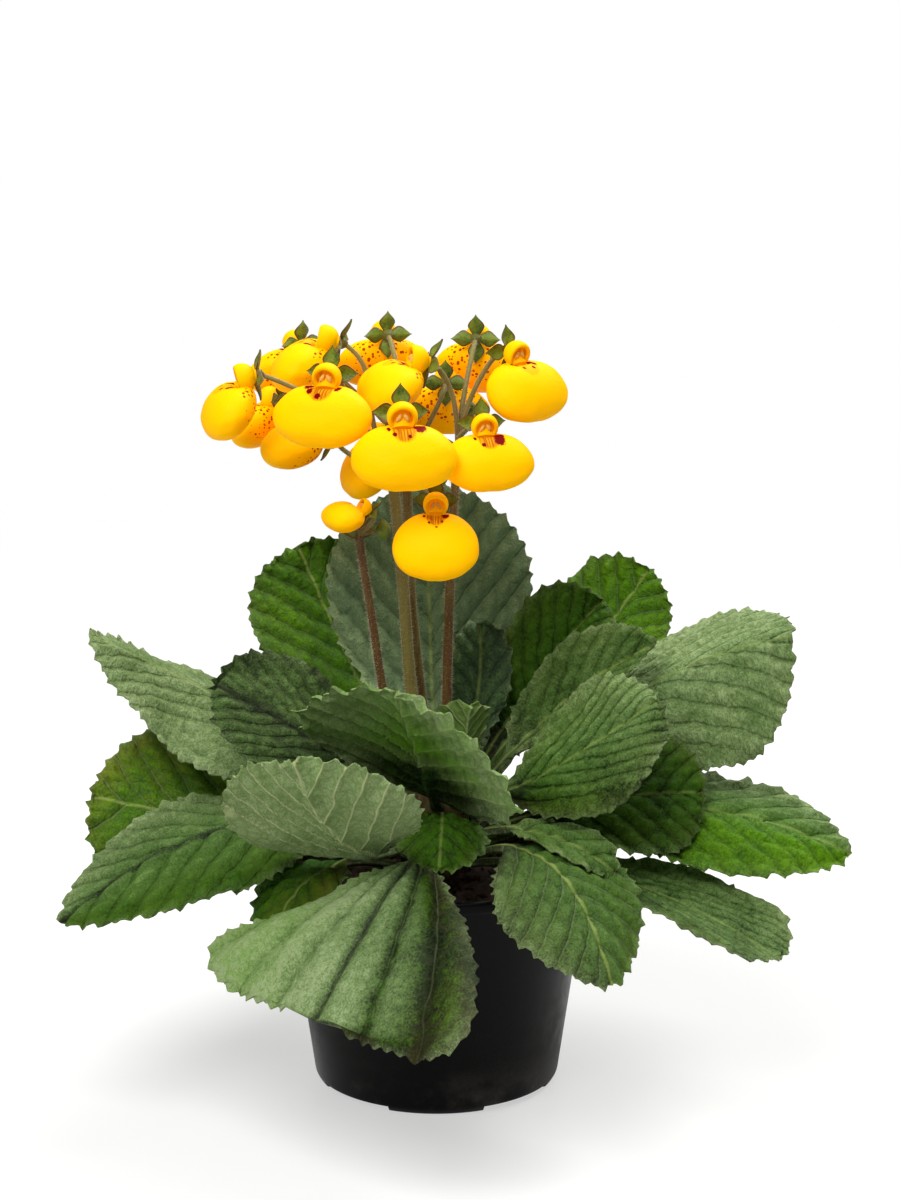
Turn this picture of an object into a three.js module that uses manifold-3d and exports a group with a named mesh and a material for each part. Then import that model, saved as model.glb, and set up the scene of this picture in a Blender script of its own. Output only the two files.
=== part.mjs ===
// Pocketbook plant in its pot, in millimetres, +Z up.
// The origin is the centre of the pot's base, on the surface that the pot stands on.
// The plant's front, with its hanging leaves and most of its blooms, faces -Y.

import * as THREE from "three";
import { mergeVertices } from "three/addons/utils/BufferGeometryUtils.js";
import Module from "manifold-3d";

const wasm = await Module();
wasm.setup();

// ---------------------------------------------------------------- driving dimensions

const GAP = 0.3; // left between pieces that touch

const POT = {
  height: 77,
  rimRadius: 52.5,
  rimDepth: 4.4,
  lip: 1.9, // how far the rim stands out from the wall
  rimEdge: 0.7, // width of the slanted edges of the rim
  baseRadius: 40.5,
  cornerHeight: 2.2, // of the slanted edge round the base
  cornerInset: 1.4,
  wall: 1.2,
  sides: 32,
  footHeight: 2,
  footInnerRadius: 30,
  footSpread: 46, // degrees of the ring that each foot takes
  feet: 4,
  padRadius: 14,
  drainRadius: 3.6,
  drainCircle: 22,
  drains: 4,
  drainSides: 6,
};

// "mound" gives the height above "top" at shares of the soil's radius, from the wall inwards.
const SOIL = {
  top: 70, holeDepth: 14, clearance: 0.7, roughness: 0.9, sides: 24,
  mound: [[1, 0], [0.8, 0.5], [0.58, 0.8], [0.33, 1]],
};

const CROWN = { radius: 11, topRadius: 8.6, top: 99, shoulder: 3, root: 4, sides: 14 };

const PETIOLE = { halfWidth: 2.3, thickness: 2.8, joint: 0.55 };
// "rise" and "fall" shape the outline below and above its widest place. "toothPeak" is where each tooth is
// highest, from its base to its end, and "thinned" the share of the blade in which it thins from the stalk.
const BLADE = {
  thickness: 0.9, ribThickness: 1.5, rise: 1.5, fall: 1.25, thinned: 0.17,
  toothDepth: 2.1, toothPeak: 0.62, lastTooth: 0.6,
};

// Each leaf's midrib runs from its seat on the crown (azimuth in degrees, height) through its middle to its
// tip. Width and the points are in millimetres. "roll" turns the blade about its midrib at the base and at
// the tip, in degrees, left edge up; "fold" raises both halves like a V, "cup" curls them up towards the
// edges, and a minus sign turns each the other way. "petiole" is the share of the length that is stalk, and
// "widest" is where the blade is widest, from its base to its tip.
const LEAVES = [
  // front
  {
    name: "leaf_front_wide", seat: [262, 75], middle: [-12, -56, 87], tip: [-37, -93, 54.5],
    width: 96, widest: 0.86, petiole: 0.3, teeth: 11, roll: [-2, 12], fold: -0.1, cup: -0.08,
  },
  {
    name: "leaf_front_right", seat: [300, 75], middle: [35, -50, 91], tip: [55, -78, 60.5],
    width: 46, widest: 0.5, petiole: 0.27, teeth: 9, roll: [11, 7], fold: -0.15, cup: -0.2,
  },
  {
    name: "leaf_front_small", seat: [278, 88], middle: [2, -32, 99.5], tip: [1, -50, 88.5],
    width: 28, widest: 0.55, petiole: 0.25, teeth: 6, roll: [0, 0], fold: -0.1, cup: -0.2,
  },
  {
    name: "leaf_front_raised", seat: [240, 85], middle: [-29, -46, 93], tip: [-43, -78, 132],
    width: 62, widest: 0.52, petiole: 0.34, teeth: 10, roll: [14, 14], fold: 0.05, cup: 0.1,
  },
  {
    name: "leaf_centre_awning", seat: [272, 96], middle: [-4, -32, 117], tip: [-12, -56, 148],
    width: 74, widest: 0.55, petiole: 0.16, teeth: 10, roll: [-18, -18], fold: 0, cup: -0.2,
  },
  // left
  {
    name: "leaf_left_small", seat: [222, 73], middle: [-36, -32, 82], tip: [-52, -49, 65],
    width: 30, widest: 0.6, petiole: 0.35, teeth: 7, roll: [4, -8], fold: 0, cup: -0.1,
  },
  {
    name: "leaf_left_low", seat: [198, 77], middle: [-64, -24, 94], tip: [-120, -36, 66],
    width: 46, widest: 0.42, petiole: 0.26, teeth: 10, roll: [-24, -24], fold: -0.25, cup: 0,
  },
  {
    name: "leaf_left_broad", seat: [178, 83], middle: [-62, 2, 86], tip: [-113, 4, 95],
    width: 56, widest: 0.6, petiole: 0.36, teeth: 10, roll: [-50, -58], fold: 0, cup: -0.08,
  },
  {
    name: "leaf_left_high", seat: [172, 90], middle: [-66, 10, 124], tip: [-113, 8, 149],
    width: 48, widest: 0.34, petiole: 0.2, teeth: 9, roll: [-16, -16], fold: -0.4, cup: -0.1,
  },
  {
    name: "leaf_left_middle", seat: [205, 95], middle: [-37, -16, 119], tip: [-70, -24, 141],
    width: 42, widest: 0.62, petiole: 0.2, teeth: 8, roll: [-60, -50], fold: 0, cup: 0.1,
  },
  // back
  {
    name: "leaf_back_left", seat: [130, 94], middle: [-29, 44, 129], tip: [-47, 66, 164],
    width: 54, widest: 0.58, petiole: 0.2, teeth: 9, roll: [-14, -14], fold: 0.05, cup: 0.1,
  },
  {
    name: "leaf_back_tall", seat: [92, 92], middle: [-2, 42, 134], tip: [-4, 62, 186],
    width: 67, widest: 0.58, petiole: 0.2, teeth: 10, roll: [0, 0], fold: 0.05, cup: 0.1,
  },
  {
    name: "leaf_inner_dark", seat: [70, 97], middle: [13, 12, 124], tip: [14, 18, 150],
    width: 19, widest: 0.6, petiole: 0.2, teeth: 5, roll: [50, 54], fold: 0.2, cup: 0.1,
  },
  {
    name: "leaf_inner_bright", seat: [330, 98], middle: [9, -10, 116], tip: [11, -13, 131],
    width: 17, widest: 0.6, petiole: 0.2, teeth: 5, roll: [10, 10], fold: 0.2, cup: 0.2,
  },
  {
    name: "leaf_back_low_left", seat: [150, 80], middle: [-50, 32, 98], tip: [-86, 54, 92],
    width: 50, widest: 0.58, petiole: 0.28, teeth: 7, roll: [0, 10], fold: -0.1, cup: -0.1,
  },
  {
    name: "leaf_back_hanging", seat: [112, 76], middle: [-24, 58, 93], tip: [-42, 96, 62],
    width: 52, widest: 0.6, petiole: 0.3, teeth: 7, roll: [0, 8], fold: -0.1, cup: -0.15,
  },
  {
    name: "leaf_back_low_middle", seat: [76, 78], middle: [14, 60, 100], tip: [22, 104, 84],
    width: 56, widest: 0.6, petiole: 0.28, teeth: 7, roll: [0, -6], fold: -0.1, cup: -0.1,
  },
  {
    name: "leaf_back_low_right", seat: [38, 78], middle: [52, 38, 96], tip: [88, 66, 76],
    width: 50, widest: 0.58, petiole: 0.28, teeth: 7, roll: [0, 0], fold: -0.1, cup: -0.1,
  },
  {
    name: "leaf_back_middle_left", seat: [112, 86], middle: [-16, 54, 120], tip: [-28, 92, 134],
    width: 50, widest: 0.6, petiole: 0.24, teeth: 7, roll: [0, 0], fold: 0.05, cup: -0.1,
  },
  {
    name: "leaf_back_middle_right", seat: [62, 86], middle: [26, 54, 112], tip: [44, 92, 122],
    width: 44, widest: 0.6, petiole: 0.24, teeth: 7, roll: [0, 0], fold: 0.05, cup: -0.1,
  },
  // right
  {
    name: "leaf_back_right", seat: [50, 93], middle: [46, 48, 126], tip: [72, 62, 157],
    width: 45, widest: 0.6, petiole: 0.2, teeth: 9, roll: [14, 14], fold: 0, cup: 0.1,
  },
  {
    name: "leaf_right_folded", seat: [27, 96.5], middle: [32, 23, 128], tip: [55, 34, 154],
    width: 32, widest: 0.6, petiole: 0.2, teeth: 8, roll: [30, 40], fold: 0.5, cup: 0,
  },
  {
    name: "leaf_right_curled", seat: [0, 93.5], middle: [41, 6, 126], tip: [71, 6, 146],
    width: 26, widest: 0.55, petiole: 0.2, teeth: 8, roll: [30, 34], fold: 0.3, cup: 0.2,
  },
  {
    name: "leaf_right_centre", seat: [335, 93], middle: [39, -26, 115], tip: [70, -33, 139],
    width: 46, widest: 0.6, petiole: 0.22, teeth: 9, roll: [50, 50], fold: -0.1, cup: 0,
  },
  {
    name: "leaf_right_high", seat: [355, 87], middle: [64, 4, 130], tip: [115, 0, 151],
    width: 60, widest: 0.62, petiole: 0.22, teeth: 10, roll: [32, 34], fold: -0.55, cup: -0.05,
  },
  {
    name: "leaf_right_under", seat: [344, 83], middle: [50, -20, 101], tip: [86, -20, 104],
    width: 40, widest: 0.65, petiole: 0.25, teeth: 8, roll: [50, 50], fold: 0, cup: -0.1,
  },
  {
    name: "leaf_right_long", seat: [352, 78], middle: [70, -14, 98], tip: [134, -20, 84],
    width: 44, widest: 0.5, petiole: 0.3, teeth: 10, roll: [24, 24], fold: -0.15, cup: -0.1,
  },
  {
    name: "leaf_right_low", seat: [328, 75], middle: [59, -30, 78], tip: [109, -56, 60.5],
    width: 34, widest: 0.7, petiole: 0.3, teeth: 9, roll: [10, 8], fold: 0.1, cup: 0.05,
  },
  {
    name: "leaf_right_narrow", seat: [316, 84], middle: [33, -35.5, 95.5], tip: [57, -47, 86],
    width: 16, widest: 0.55, petiole: 0.3, teeth: 5, roll: [16, 16], fold: 0.3, cup: 0,
  },
];

// Scapes: the flower stems. "route" runs from the crown's top to the fork, and "radius" is at its two ends.
// Each bract pair sits at the fork. Buds are [x, y, z, radius].
const SCAPES = [
  {
    name: "scape_left", radius: [1.5, 1.3], bractTurn: 20,
    route: [[-6, -1, 99.9], [-16, -3, 128], [-21, -5, 160], [-25, -8, 187]],
    buds: [[-17, -9, 189, 2.6], [-21, -3, 193, 2.2]],
  },
  {
    name: "scape_middle", radius: [2.1, 1.8], bractTurn: 60,
    route: [[-1.5, -3.5, 99.9], [-7.5, -1, 128], [-11, -1, 172], [-14, -1, 205]],
    buds: [],
  },
  {
    name: "scape_behind", radius: [1.9, 1.6], bractTurn: 110,
    route: [[-1, 3, 99.9], [-4.5, 5, 125], [-8.5, 7, 166], [-9.5, 8, 203]],
    buds: [[1.5, 0, 205, 2.7]],
  },
  {
    name: "scape_right", radius: [1.8, 1.4], bractTurn: 0,
    route: [[4, -0.5, 99.9], [3.5, 0, 127], [4.5, 2, 168], [7, 6, 214]],
    buds: [[11, 12, 224, 2.2]],
  },
];

// Blooms: "calyx" is the middle of the green star that each one grows from, and its stalk passes "via" on
// the way there. "yaw" is the azimuth that the bloom faces and "nod" tips it down, in degrees. "size" is 1
// for a pouch 33 mm wide, and "plump" lengthens the pouch downwards.
const UPRIGHT = { nod: 0, plump: 1 };
const BLOOMS = [
  { name: "bloom_far_left", scape: 1, calyx: [-57, -6, 239], yaw: 190, size: 0.92 },
  {
    name: "bloom_upper_left", scape: 1, calyx: [-31, 17, 245], yaw: 172, nod: -18, size: 0.95,
    via: [-27, 22, 226],
  },
  { name: "bloom_centre_left", scape: 1, calyx: [-33, -12, 241], yaw: 254, size: 0.98, via: [-27, -5, 222] },
  { name: "bloom_lower_left", scape: 1, calyx: [-33, 12, 213.5], yaw: 172, nod: -42, size: 0.9 },
  { name: "bloom_left_hidden", scape: 1, calyx: [-51, 27, 224.5], yaw: 150, size: 0.8, via: [-22, 20, 226] },
  { name: "bloom_front_centre", scape: 1, calyx: [-11, -24, 231], yaw: 276, size: 1.02 },
  { name: "bloom_front_low", scape: 2, calyx: [0, -22, 202], yaw: 270, size: 0.84, plump: 1.25 },
  { name: "bloom_low_behind", scape: 2, calyx: [-15, 24, 214], yaw: 196, nod: 6, size: 0.85, plump: 1.1 },
  { name: "bloom_back_centre", scape: 2, calyx: [-16, 30, 245], yaw: 105, size: 0.9 },
  { name: "bloom_back_left", scape: 2, calyx: [-44.5, 45, 239], yaw: 120, size: 0.9, via: [0, 36, 203] },
  { name: "bloom_back_middle", scape: 2, calyx: [3, 20, 231], yaw: 90, size: 0.88 },
  { name: "bloom_front_right", scape: 3, calyx: [14.5, -14.5, 225.5], yaw: 282, size: 0.9 },
  { name: "bloom_far_right", scape: 3, calyx: [23, 4, 245], yaw: 308, size: 0.92, plump: 1.05 },
  { name: "bloom_back_right", scape: 3, calyx: [13, 28, 244], yaw: 82, size: 0.92 },
  { name: "bloom_upper_centre", scape: 3, calyx: [-2, 4, 241], yaw: 196, nod: -22, size: 0.95 },
  { name: "bloom_young", scape: 0, calyx: [-21, -14, 196], yaw: 200, nod: -45, size: 0.58 },
].map((bloom) => ({ ...UPRIGHT, ...bloom }));

// A bloom of size 1, in its own frame: it faces +X from the calyx at the origin, with +Z up.
const BLOOM = {
  pouch: { centre: [10, 0, -12], tilt: 50, long: 11.5, wide: 16.4, thick: 8, columns: 10, rows: 6 },
  mouth: { direction: [-0.85, 0, 0.52], spread: 0.5, depth: 0.3 },
  hood: { centre: [5, 0, 0.6], outer: 5, wall: 0.9, opening: 115, tilt: 35, sides: 6 },
  neck: { end: [5, 0, -4.5], radii: [2, 3.6] },
};
const SEPAL = { length: 8, width: 5.2, thickness: 0.7, reflex: 14, widest: 0.48 };
const CALYX = { radius: 2.1, depth: 2.4, sunk: 0.55 };
const BRACT = { length: 9, width: 4.5, thickness: 0.7, tilt: 50, drop: 1.5 };
const BUD = { stalkRadii: [0.8, 0.7], stretch: 1.3 };

// The stems: the number of sides and of steps along each. A pedicel's bends are shares of its length: how
// far it climbs from the fork, and how far behind and below its calyx it turns towards it.
const SCAPE = { sides: 6, steps: 7 };
const PEDICEL = { radii: [0.9, 0.75], sides: 5, steps: 4, climb: 0.22, behind: 0.3, below: 0.1, sunk: 1 };

// ---------------------------------------------------------------- vectors and solids

const UP = new THREE.Vector3(0, 0, 1);
const radians = THREE.MathUtils.degToRad;
const vector = (point) => new THREE.Vector3(...point);
const mix = THREE.MathUtils.lerp;

function solid(geometry) {
  const bare = new THREE.BufferGeometry();
  bare.setAttribute("position", geometry.getAttribute("position").clone());
  if (geometry.index) bare.setIndex(geometry.index.clone());
  const merged = mergeVertices(bare, 1e-4);
  return new wasm.Manifold(
    new wasm.Mesh({
      numProp: 3,
      vertProperties: new Float32Array(merged.attributes.position.array),
      triVerts: new Uint32Array(merged.index.array),
    }),
  );
}

function geometryOf(manifold) {
  const mesh = manifold.getMesh();
  const geometry = new THREE.BufferGeometry();
  geometry.setAttribute("position", new THREE.BufferAttribute(mesh.vertProperties, 3));
  geometry.setIndex(new THREE.BufferAttribute(mesh.triVerts, 1));
  geometry.computeVertexNormals();
  return geometry;
}

const union = (solids) => solids.reduce((joined, next) => joined.add(next));

function geometryFrom(points, triangles) {
  const geometry = new THREE.BufferGeometry();
  geometry.setFromPoints(points);
  geometry.setIndex(triangles.flat());
  geometry.computeVertexNormals();
  return geometry;
}

// Closes a sheet: the lower face repeats the upper face's triangles, turned round, and a rim joins them.
function closedSheet(upper, lower, triangles) {
  const count = upper.length;
  const faces = [];
  const edges = new Set();
  for (const [a, b, c] of triangles) {
    faces.push([a, b, c], [a + count, c + count, b + count]);
    for (const edge of [[a, b], [b, c], [c, a]]) edges.add(edge.join());
  }
  for (const edge of edges) {
    const [a, b] = edge.split(",").map(Number);
    if (edges.has(`${b},${a}`)) continue;
    faces.push([b, a, a + count], [b, a + count, b + count]);
  }
  return geometryFrom([...upper, ...lower], faces);
}

// ---------------------------------------------------------------- leaves

const around = (radius, azimuth, height) =>
  new THREE.Vector3(radius * Math.cos(radians(azimuth)), radius * Math.sin(radians(azimuth)), height);

// The quadratic curve through the seat, the middle and the tip.
function midribOf(leaf) {
  const seat = around(CROWN.radius + GAP, ...leaf.seat);
  const tip = vector(leaf.tip);
  const handle = vector(leaf.middle).multiplyScalar(2).sub(seat.clone().add(tip).multiplyScalar(0.5));
  return new THREE.QuadraticBezierCurve3(seat, handle, tip);
}

// Half the blade's width at a share of the blade's length: a beta curve, blunt at the tip.
function halfWidth(leaf, share) {
  const rise = BLADE.rise * leaf.widest;
  const fall = BLADE.fall * (1 - leaf.widest);
  const below = (share / leaf.widest) ** rise;
  const above = ((1 - share) / (1 - leaf.widest)) ** fall;
  return (leaf.width / 2) * below * above;
}

// Where the midrib is at t, and which way the blade's left half and its upper face point there.
// At the seat the stalk's end stands upright, flat against the crown.
function leafFrame(leaf, t) {
  const midrib = midribOf(leaf);
  if (t === 0) return { origin: midrib.v0.clone(), left: around(1, leaf.seat[0] + 90, 0), normal: UP };
  const along = midrib.getTangent(t);
  const outward = midrib.v2.clone().sub(midrib.v0).setZ(0).normalize();
  const left = new THREE.Vector3(-outward.y, outward.x, 0);
  left.addScaledVector(along, -left.dot(along)).normalize();
  left.applyAxisAngle(along, radians(mix(leaf.roll[0], leaf.roll[1], t)));
  return { origin: midrib.getPoint(t), left, normal: along.clone().cross(left) };
}

// A point of the blade: t runs along the midrib, and side from -1 at the right edge to 1 at the left one.
function bladePoint(leaf, t, side, extra = 0) {
  const { origin, left, normal } = leafFrame(leaf, t);
  const share = Math.max(0, (t - leaf.petiole) / (1 - leaf.petiole));
  const blade = share > 0 && share < 1 ? halfWidth(leaf, share) : 0;
  const reach = Math.max(blade, PETIOLE.halfWidth * (1 - share)) + extra;
  const lift = (leaf.fold * Math.abs(side) + leaf.cup * side * side) * blade;
  const thinned = Math.min(1, share / BLADE.thinned);
  const thickness = mix(PETIOLE.thickness, BLADE.thickness, thinned);
  const rib = side === 0 ? BLADE.ribThickness * (1 - share) * thinned : 0;
  const middle = origin.addScaledVector(left, side * reach).addScaledVector(normal, lift);
  return {
    upper: middle.clone().addScaledVector(normal, thickness / 2),
    lower: middle.clone().addScaledVector(normal, -thickness / 2 - rib),
  };
}

function leafGeometry(leaf) {
  const stations = [0, leaf.petiole * PETIOLE.joint];
  for (let i = 0; i < leaf.teeth; i++) stations.push(mix(leaf.petiole, 1, i / leaf.teeth));
  const upper = [];
  const lower = [];
  const add = (t, side, extra) => {
    const point = bladePoint(leaf, t, side, extra);
    upper.push(point.upper);
    lower.push(point.lower);
    return upper.length - 1;
  };
  // One row for each station: right edge, right half, midrib, left half, left edge.
  const rows = stations.map((t) => [-1, -0.5, 0, 0.5, 1].map((side) => add(t, side)));
  const tip = add(1, 0);
  const triangles = [];
  rows.forEach((row, i) => {
    const [r, rh, m, lh, l] = row;
    const t = stations[i];
    const next = rows[i + 1] ?? [tip, tip, tip, tip, tip];
    const ahead = stations[i + 1] ?? 1;
    const toothed = i > 1;
    const toothAt = mix(t, ahead, BLADE.toothPeak);
    const depth = BLADE.toothDepth * (i + 1 < rows.length ? 1 : BLADE.lastTooth);
    const rightTooth = toothed ? add(toothAt, -1, depth) : null;
    const leftTooth = toothed ? add(toothAt, 1, depth) : null;
    const strip = (a, b, bNext, aNext) => triangles.push([a, b, bNext], [a, bNext, aNext]);
    strip(rh, m, next[2], next[1]);
    strip(m, lh, next[3], next[2]);
    if (toothed) {
      triangles.push([r, rh, rightTooth], [rightTooth, rh, next[1]], [rightTooth, next[1], next[0]]);
      triangles.push([lh, l, leftTooth], [lh, leftTooth, next[3]], [next[3], leftTooth, next[4]]);
    } else {
      strip(r, rh, next[1], next[0]);
      strip(lh, l, next[4], next[3]);
    }
  });
  const whole = triangles.filter(([a, b, c]) => a !== b && b !== c && c !== a);
  return closedSheet(upper, lower, whole.map(([a, b, c]) => [a, c, b]));
}

// ---------------------------------------------------------------- pot, soil and crown

const profile = (points) => points.map(([radius, height]) => new THREE.Vector2(radius, height));

// A solid of revolution about +Z.
function turned(points, sides) {
  return new THREE.LatheGeometry(profile(points), sides).rotateX(Math.PI / 2);
}

const wallTop = POT.height - POT.rimDepth;

// The wall's outer radius at a height, between the slanted base edge and the rim.
function wallRadius(height) {
  const share = (height - POT.cornerHeight) / (wallTop - POT.cornerHeight);
  return mix(POT.baseRadius, POT.rimRadius - POT.lip, share);
}

function potGeometry() {
  const floorTop = POT.footHeight + POT.wall;
  const shell = turned(
    [
      [0, 0],
      [POT.baseRadius - POT.cornerInset, 0],
      [POT.baseRadius, POT.cornerHeight],
      [wallRadius(wallTop), wallTop],
      [POT.rimRadius - POT.rimEdge, wallTop],
      [POT.rimRadius, wallTop + POT.rimEdge],
      [POT.rimRadius, POT.height - POT.rimEdge],
      [POT.rimRadius - POT.rimEdge, POT.height],
      [POT.rimRadius - POT.rimEdge - POT.wall, POT.height],
      [wallRadius(wallTop) - POT.wall, wallTop],
      [wallRadius(floorTop) - POT.wall, floorTop],
      [0, floorTop],
    ],
    POT.sides,
  );
  const below = -1; // every cut starts under the base
  const channel = turned(
    [
      [POT.padRadius, below],
      [POT.footInnerRadius, below],
      [POT.footInnerRadius, POT.footHeight],
      [POT.padRadius, POT.footHeight],
      [POT.padRadius, below],
    ],
    POT.sides,
  );
  const cuts = [solid(channel)];
  const step = 360 / POT.feet;
  for (let foot = 0; foot < POT.feet; foot++) {
    cuts.push(solid(footGap(foot * step + POT.footSpread / 2, (foot + 1) * step - POT.footSpread / 2)));
  }
  for (let drain = 0; drain < POT.drains; drain++) {
    const hole = new THREE.CylinderGeometry(POT.drainRadius, POT.drainRadius, 4 * POT.wall, POT.drainSides);
    hole.rotateX(Math.PI / 2);
    hole.translate(...around(POT.drainCircle, (drain + 0.5) * (360 / POT.drains), floorTop).toArray());
    cuts.push(solid(hole));
  }
  return geometryOf(solid(shell).subtract(union(cuts)));
}

// The block that is cut away between two feet, from one azimuth to the other.
function footGap(from, to) {
  const reach = POT.baseRadius + 3;
  const inner = POT.footInnerRadius - 2;
  const outline = new THREE.Shape();
  outline.moveTo(inner * Math.cos(radians(from)), inner * Math.sin(radians(from)));
  outline.absarc(0, 0, reach, radians(from), radians(to), false);
  outline.absarc(0, 0, inner, radians(to), radians(from), true);
  return new THREE.ExtrudeGeometry(outline, {
    depth: POT.footHeight + 1,
    bevelEnabled: false,
    curveSegments: 6,
  }).translate(0, 0, -1);
}

// Low waves that make the soil's top uneven.
const soilBump = (x, y) =>
  SOIL.roughness * (Math.sin(x * 0.47 + 1) * Math.cos(y * 0.39) + 0.6 * Math.sin(x * 0.9 - y * 0.7));

function soilGeometry() {
  const bottom = POT.footHeight + POT.wall + GAP;
  const hole = CROWN.radius + GAP;
  const inside = (height) => wallRadius(height) - POT.wall - SOIL.clearance;
  const mound = SOIL.mound.map(([share, rise]) => [inside(SOIL.top) * share, SOIL.top + rise]);
  const geometry = turned(
    [
      [0, bottom],
      [inside(bottom), bottom],
      ...mound,
      [hole, SOIL.top],
      [hole, SOIL.top - SOIL.holeDepth],
      [0, SOIL.top - SOIL.holeDepth],
    ],
    SOIL.sides,
  );
  const position = geometry.getAttribute("position");
  for (let i = 0; i < position.count; i++) {
    const onTop = position.getZ(i) > SOIL.top - 0.1;
    if (onTop) position.setZ(i, position.getZ(i) + soilBump(position.getX(i), position.getY(i)));
  }
  return geometry;
}

function crownGeometry() {
  const bottom = SOIL.top - SOIL.holeDepth + GAP;
  return turned(
    [
      [0, bottom],
      [CROWN.topRadius, bottom],
      [CROWN.radius, bottom + CROWN.root],
      [CROWN.radius, CROWN.top - CROWN.shoulder],
      [CROWN.topRadius, CROWN.top],
      [0, CROWN.top],
    ],
    CROWN.sides,
  );
}

// ---------------------------------------------------------------- stems and blooms

// A closed round stem along a curve, with its own radius at each end.
function stem(curve, radii, sides, steps) {
  const frames = curve.computeFrenetFrames(steps, false);
  const points = [];
  const triangles = [];
  for (let i = 0; i <= steps; i++) {
    const radius = mix(radii[0], radii[1], i / steps);
    const centre = curve.getPointAt(i / steps);
    for (let side = 0; side < sides; side++) {
      const angle = (2 * Math.PI * side) / sides;
      const point = centre.clone().addScaledVector(frames.normals[i], radius * Math.cos(angle));
      points.push(point.addScaledVector(frames.binormals[i], radius * Math.sin(angle)));
    }
  }
  for (let i = 0; i < steps; i++) {
    for (let side = 0; side < sides; side++) {
      const a = i * sides + side;
      const b = i * sides + ((side + 1) % sides);
      triangles.push([a, b, b + sides], [a, b + sides, a + sides]);
    }
  }
  const last = steps * sides;
  for (let side = 1; side < sides - 1; side++) {
    triangles.push([0, side + 1, side], [last, last + side, last + side + 1]);
  }
  return geometryFrom(points, triangles);
}

// The matrix that places a bloom's own frame: facing +X from its calyx, with +Z up.
function bloomMatrix(bloom) {
  return new THREE.Matrix4()
    .makeTranslation(...bloom.calyx)
    .multiply(new THREE.Matrix4().makeRotationZ(radians(bloom.yaw)))
    .multiply(new THREE.Matrix4().makeRotationY(radians(bloom.nod)));
}

// The inflated lower lip: an egg tilted forwards and down, with the mouth pressed in at its upper end.
function pouchGeometry(plump) {
  const { centre, tilt, long, wide, thick, columns, rows } = BLOOM.pouch;
  const mouth = vector(BLOOM.mouth.direction).normalize();
  const geometry = new THREE.SphereGeometry(1, columns, rows);
  const position = geometry.getAttribute("position");
  const down = radians(tilt);
  const length = long * plump;
  for (let i = 0; i < position.count; i++) {
    const point = new THREE.Vector3().fromBufferAttribute(position, i).normalize();
    const away = point.angleTo(mouth) / BLOOM.mouth.spread;
    const pressed = 1 - BLOOM.mouth.depth * Math.exp(-away * away);
    const forward = (point.x * pressed + (plump - 1)) * length;
    const across = point.y * wide * (1 + 0.08 * point.x);
    const up = point.z * pressed * thick;
    position.setXYZ(
      i,
      centre[0] + forward * Math.cos(down) + up * Math.sin(down),
      across,
      centre[2] - forward * Math.sin(down) + up * Math.cos(down),
    );
  }
  return geometry;
}

// The hood: a thin round shell that opens forwards and down over the mouth.
function hoodGeometry() {
  const { centre, outer, wall, opening, tilt, sides } = BLOOM.hood;
  const arc = (radius, degrees) => {
    const angle = radians(degrees);
    return [radius * Math.sin(angle), -radius * Math.cos(angle)];
  };
  const inner = outer - wall;
  const section = [
    arc(outer, 0),
    arc(outer, opening * 0.45),
    arc(outer, opening),
    arc(inner, opening),
    arc(inner, opening * 0.5),
    arc(inner, 0),
  ];
  const shell = turned(section, sides);
  return shell.rotateY(radians(90 + tilt)).translate(...centre);
}

function bloomGeometry(bloom) {
  const start = new THREE.Vector3(GAP / bloom.size, 0, 0);
  const end = vector(BLOOM.neck.end);
  const neckCurve = new THREE.QuadraticBezierCurve3(start, new THREE.Vector3(end.x / 2, 0, 0), end);
  const pieces = [
    solid(pouchGeometry(bloom.plump)),
    solid(stem(neckCurve, BLOOM.neck.radii, 5, 2)),
    solid(hoodGeometry()),
  ];
  const whole = geometryOf(union(pieces));
  return whole.scale(bloom.size, bloom.size, bloom.size).applyMatrix4(bloomMatrix(bloom));
}

// A pointed bract that leans out along +X from the origin.
function bractGeometry() {
  const half = BRACT.thickness / 2;
  const outline = [
    [-0.25, 0], [0, 0], [0.25, 0],
    [-0.5, 0.42], [0, 0.42], [0.5, 0.42],
    [0, 1],
  ];
  const place = (x) =>
    outline.map(([y, z]) => new THREE.Vector3(x + 0.5 * Math.abs(y), y * BRACT.width, z * BRACT.length));
  const triangles = [
    [0, 1, 4], [0, 4, 3], [1, 2, 5], [1, 5, 4],
    [3, 4, 6], [4, 5, 6],
  ];
  return closedSheet(place(half), place(-half), triangles).rotateY(radians(BRACT.tilt));
}

// The green star behind a bloom: four sepals in a cross round a cup that tapers back to the stalk.
function calyxSolid(bloom) {
  const { length, width, thickness, reflex } = SEPAL;
  const front = [new THREE.Vector3(0, 0, 0)];
  const back = [new THREE.Vector3(-CALYX.depth, 0, 0)];
  const triangles = [];
  const facing = new THREE.Vector3(1, 0, 0);
  const add = (turn, across, out) => {
    const lean = -Math.max(0, out - CALYX.radius) * Math.tan(radians(reflex));
    const point = new THREE.Vector3(lean, across, out).applyAxisAngle(facing, radians(90 * turn));
    front.push(point);
    back.push(point.clone().setX(point.x - thickness));
    return front.length - 1;
  };
  const notch = CALYX.radius * Math.SQRT1_2;
  const notches = [0, 1, 2, 3].map((turn) => add(turn, notch, notch));
  for (let turn = 0; turn < 4; turn++) {
    const before = notches[turn];
    const after = notches[(turn + 1) % 4];
    const one = add(turn, width / 2, length * SEPAL.widest);
    const other = add(turn, -width / 2, length * SEPAL.widest);
    const tip = add(turn, 0, length);
    triangles.push([0, before, one], [0, one, other], [0, other, after], [one, tip, other]);
  }
  const star = closedSheet(front, back, triangles).scale(bloom.size, bloom.size, bloom.size);
  return solid(star.applyMatrix4(bloomMatrix(bloom)));
}

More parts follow.
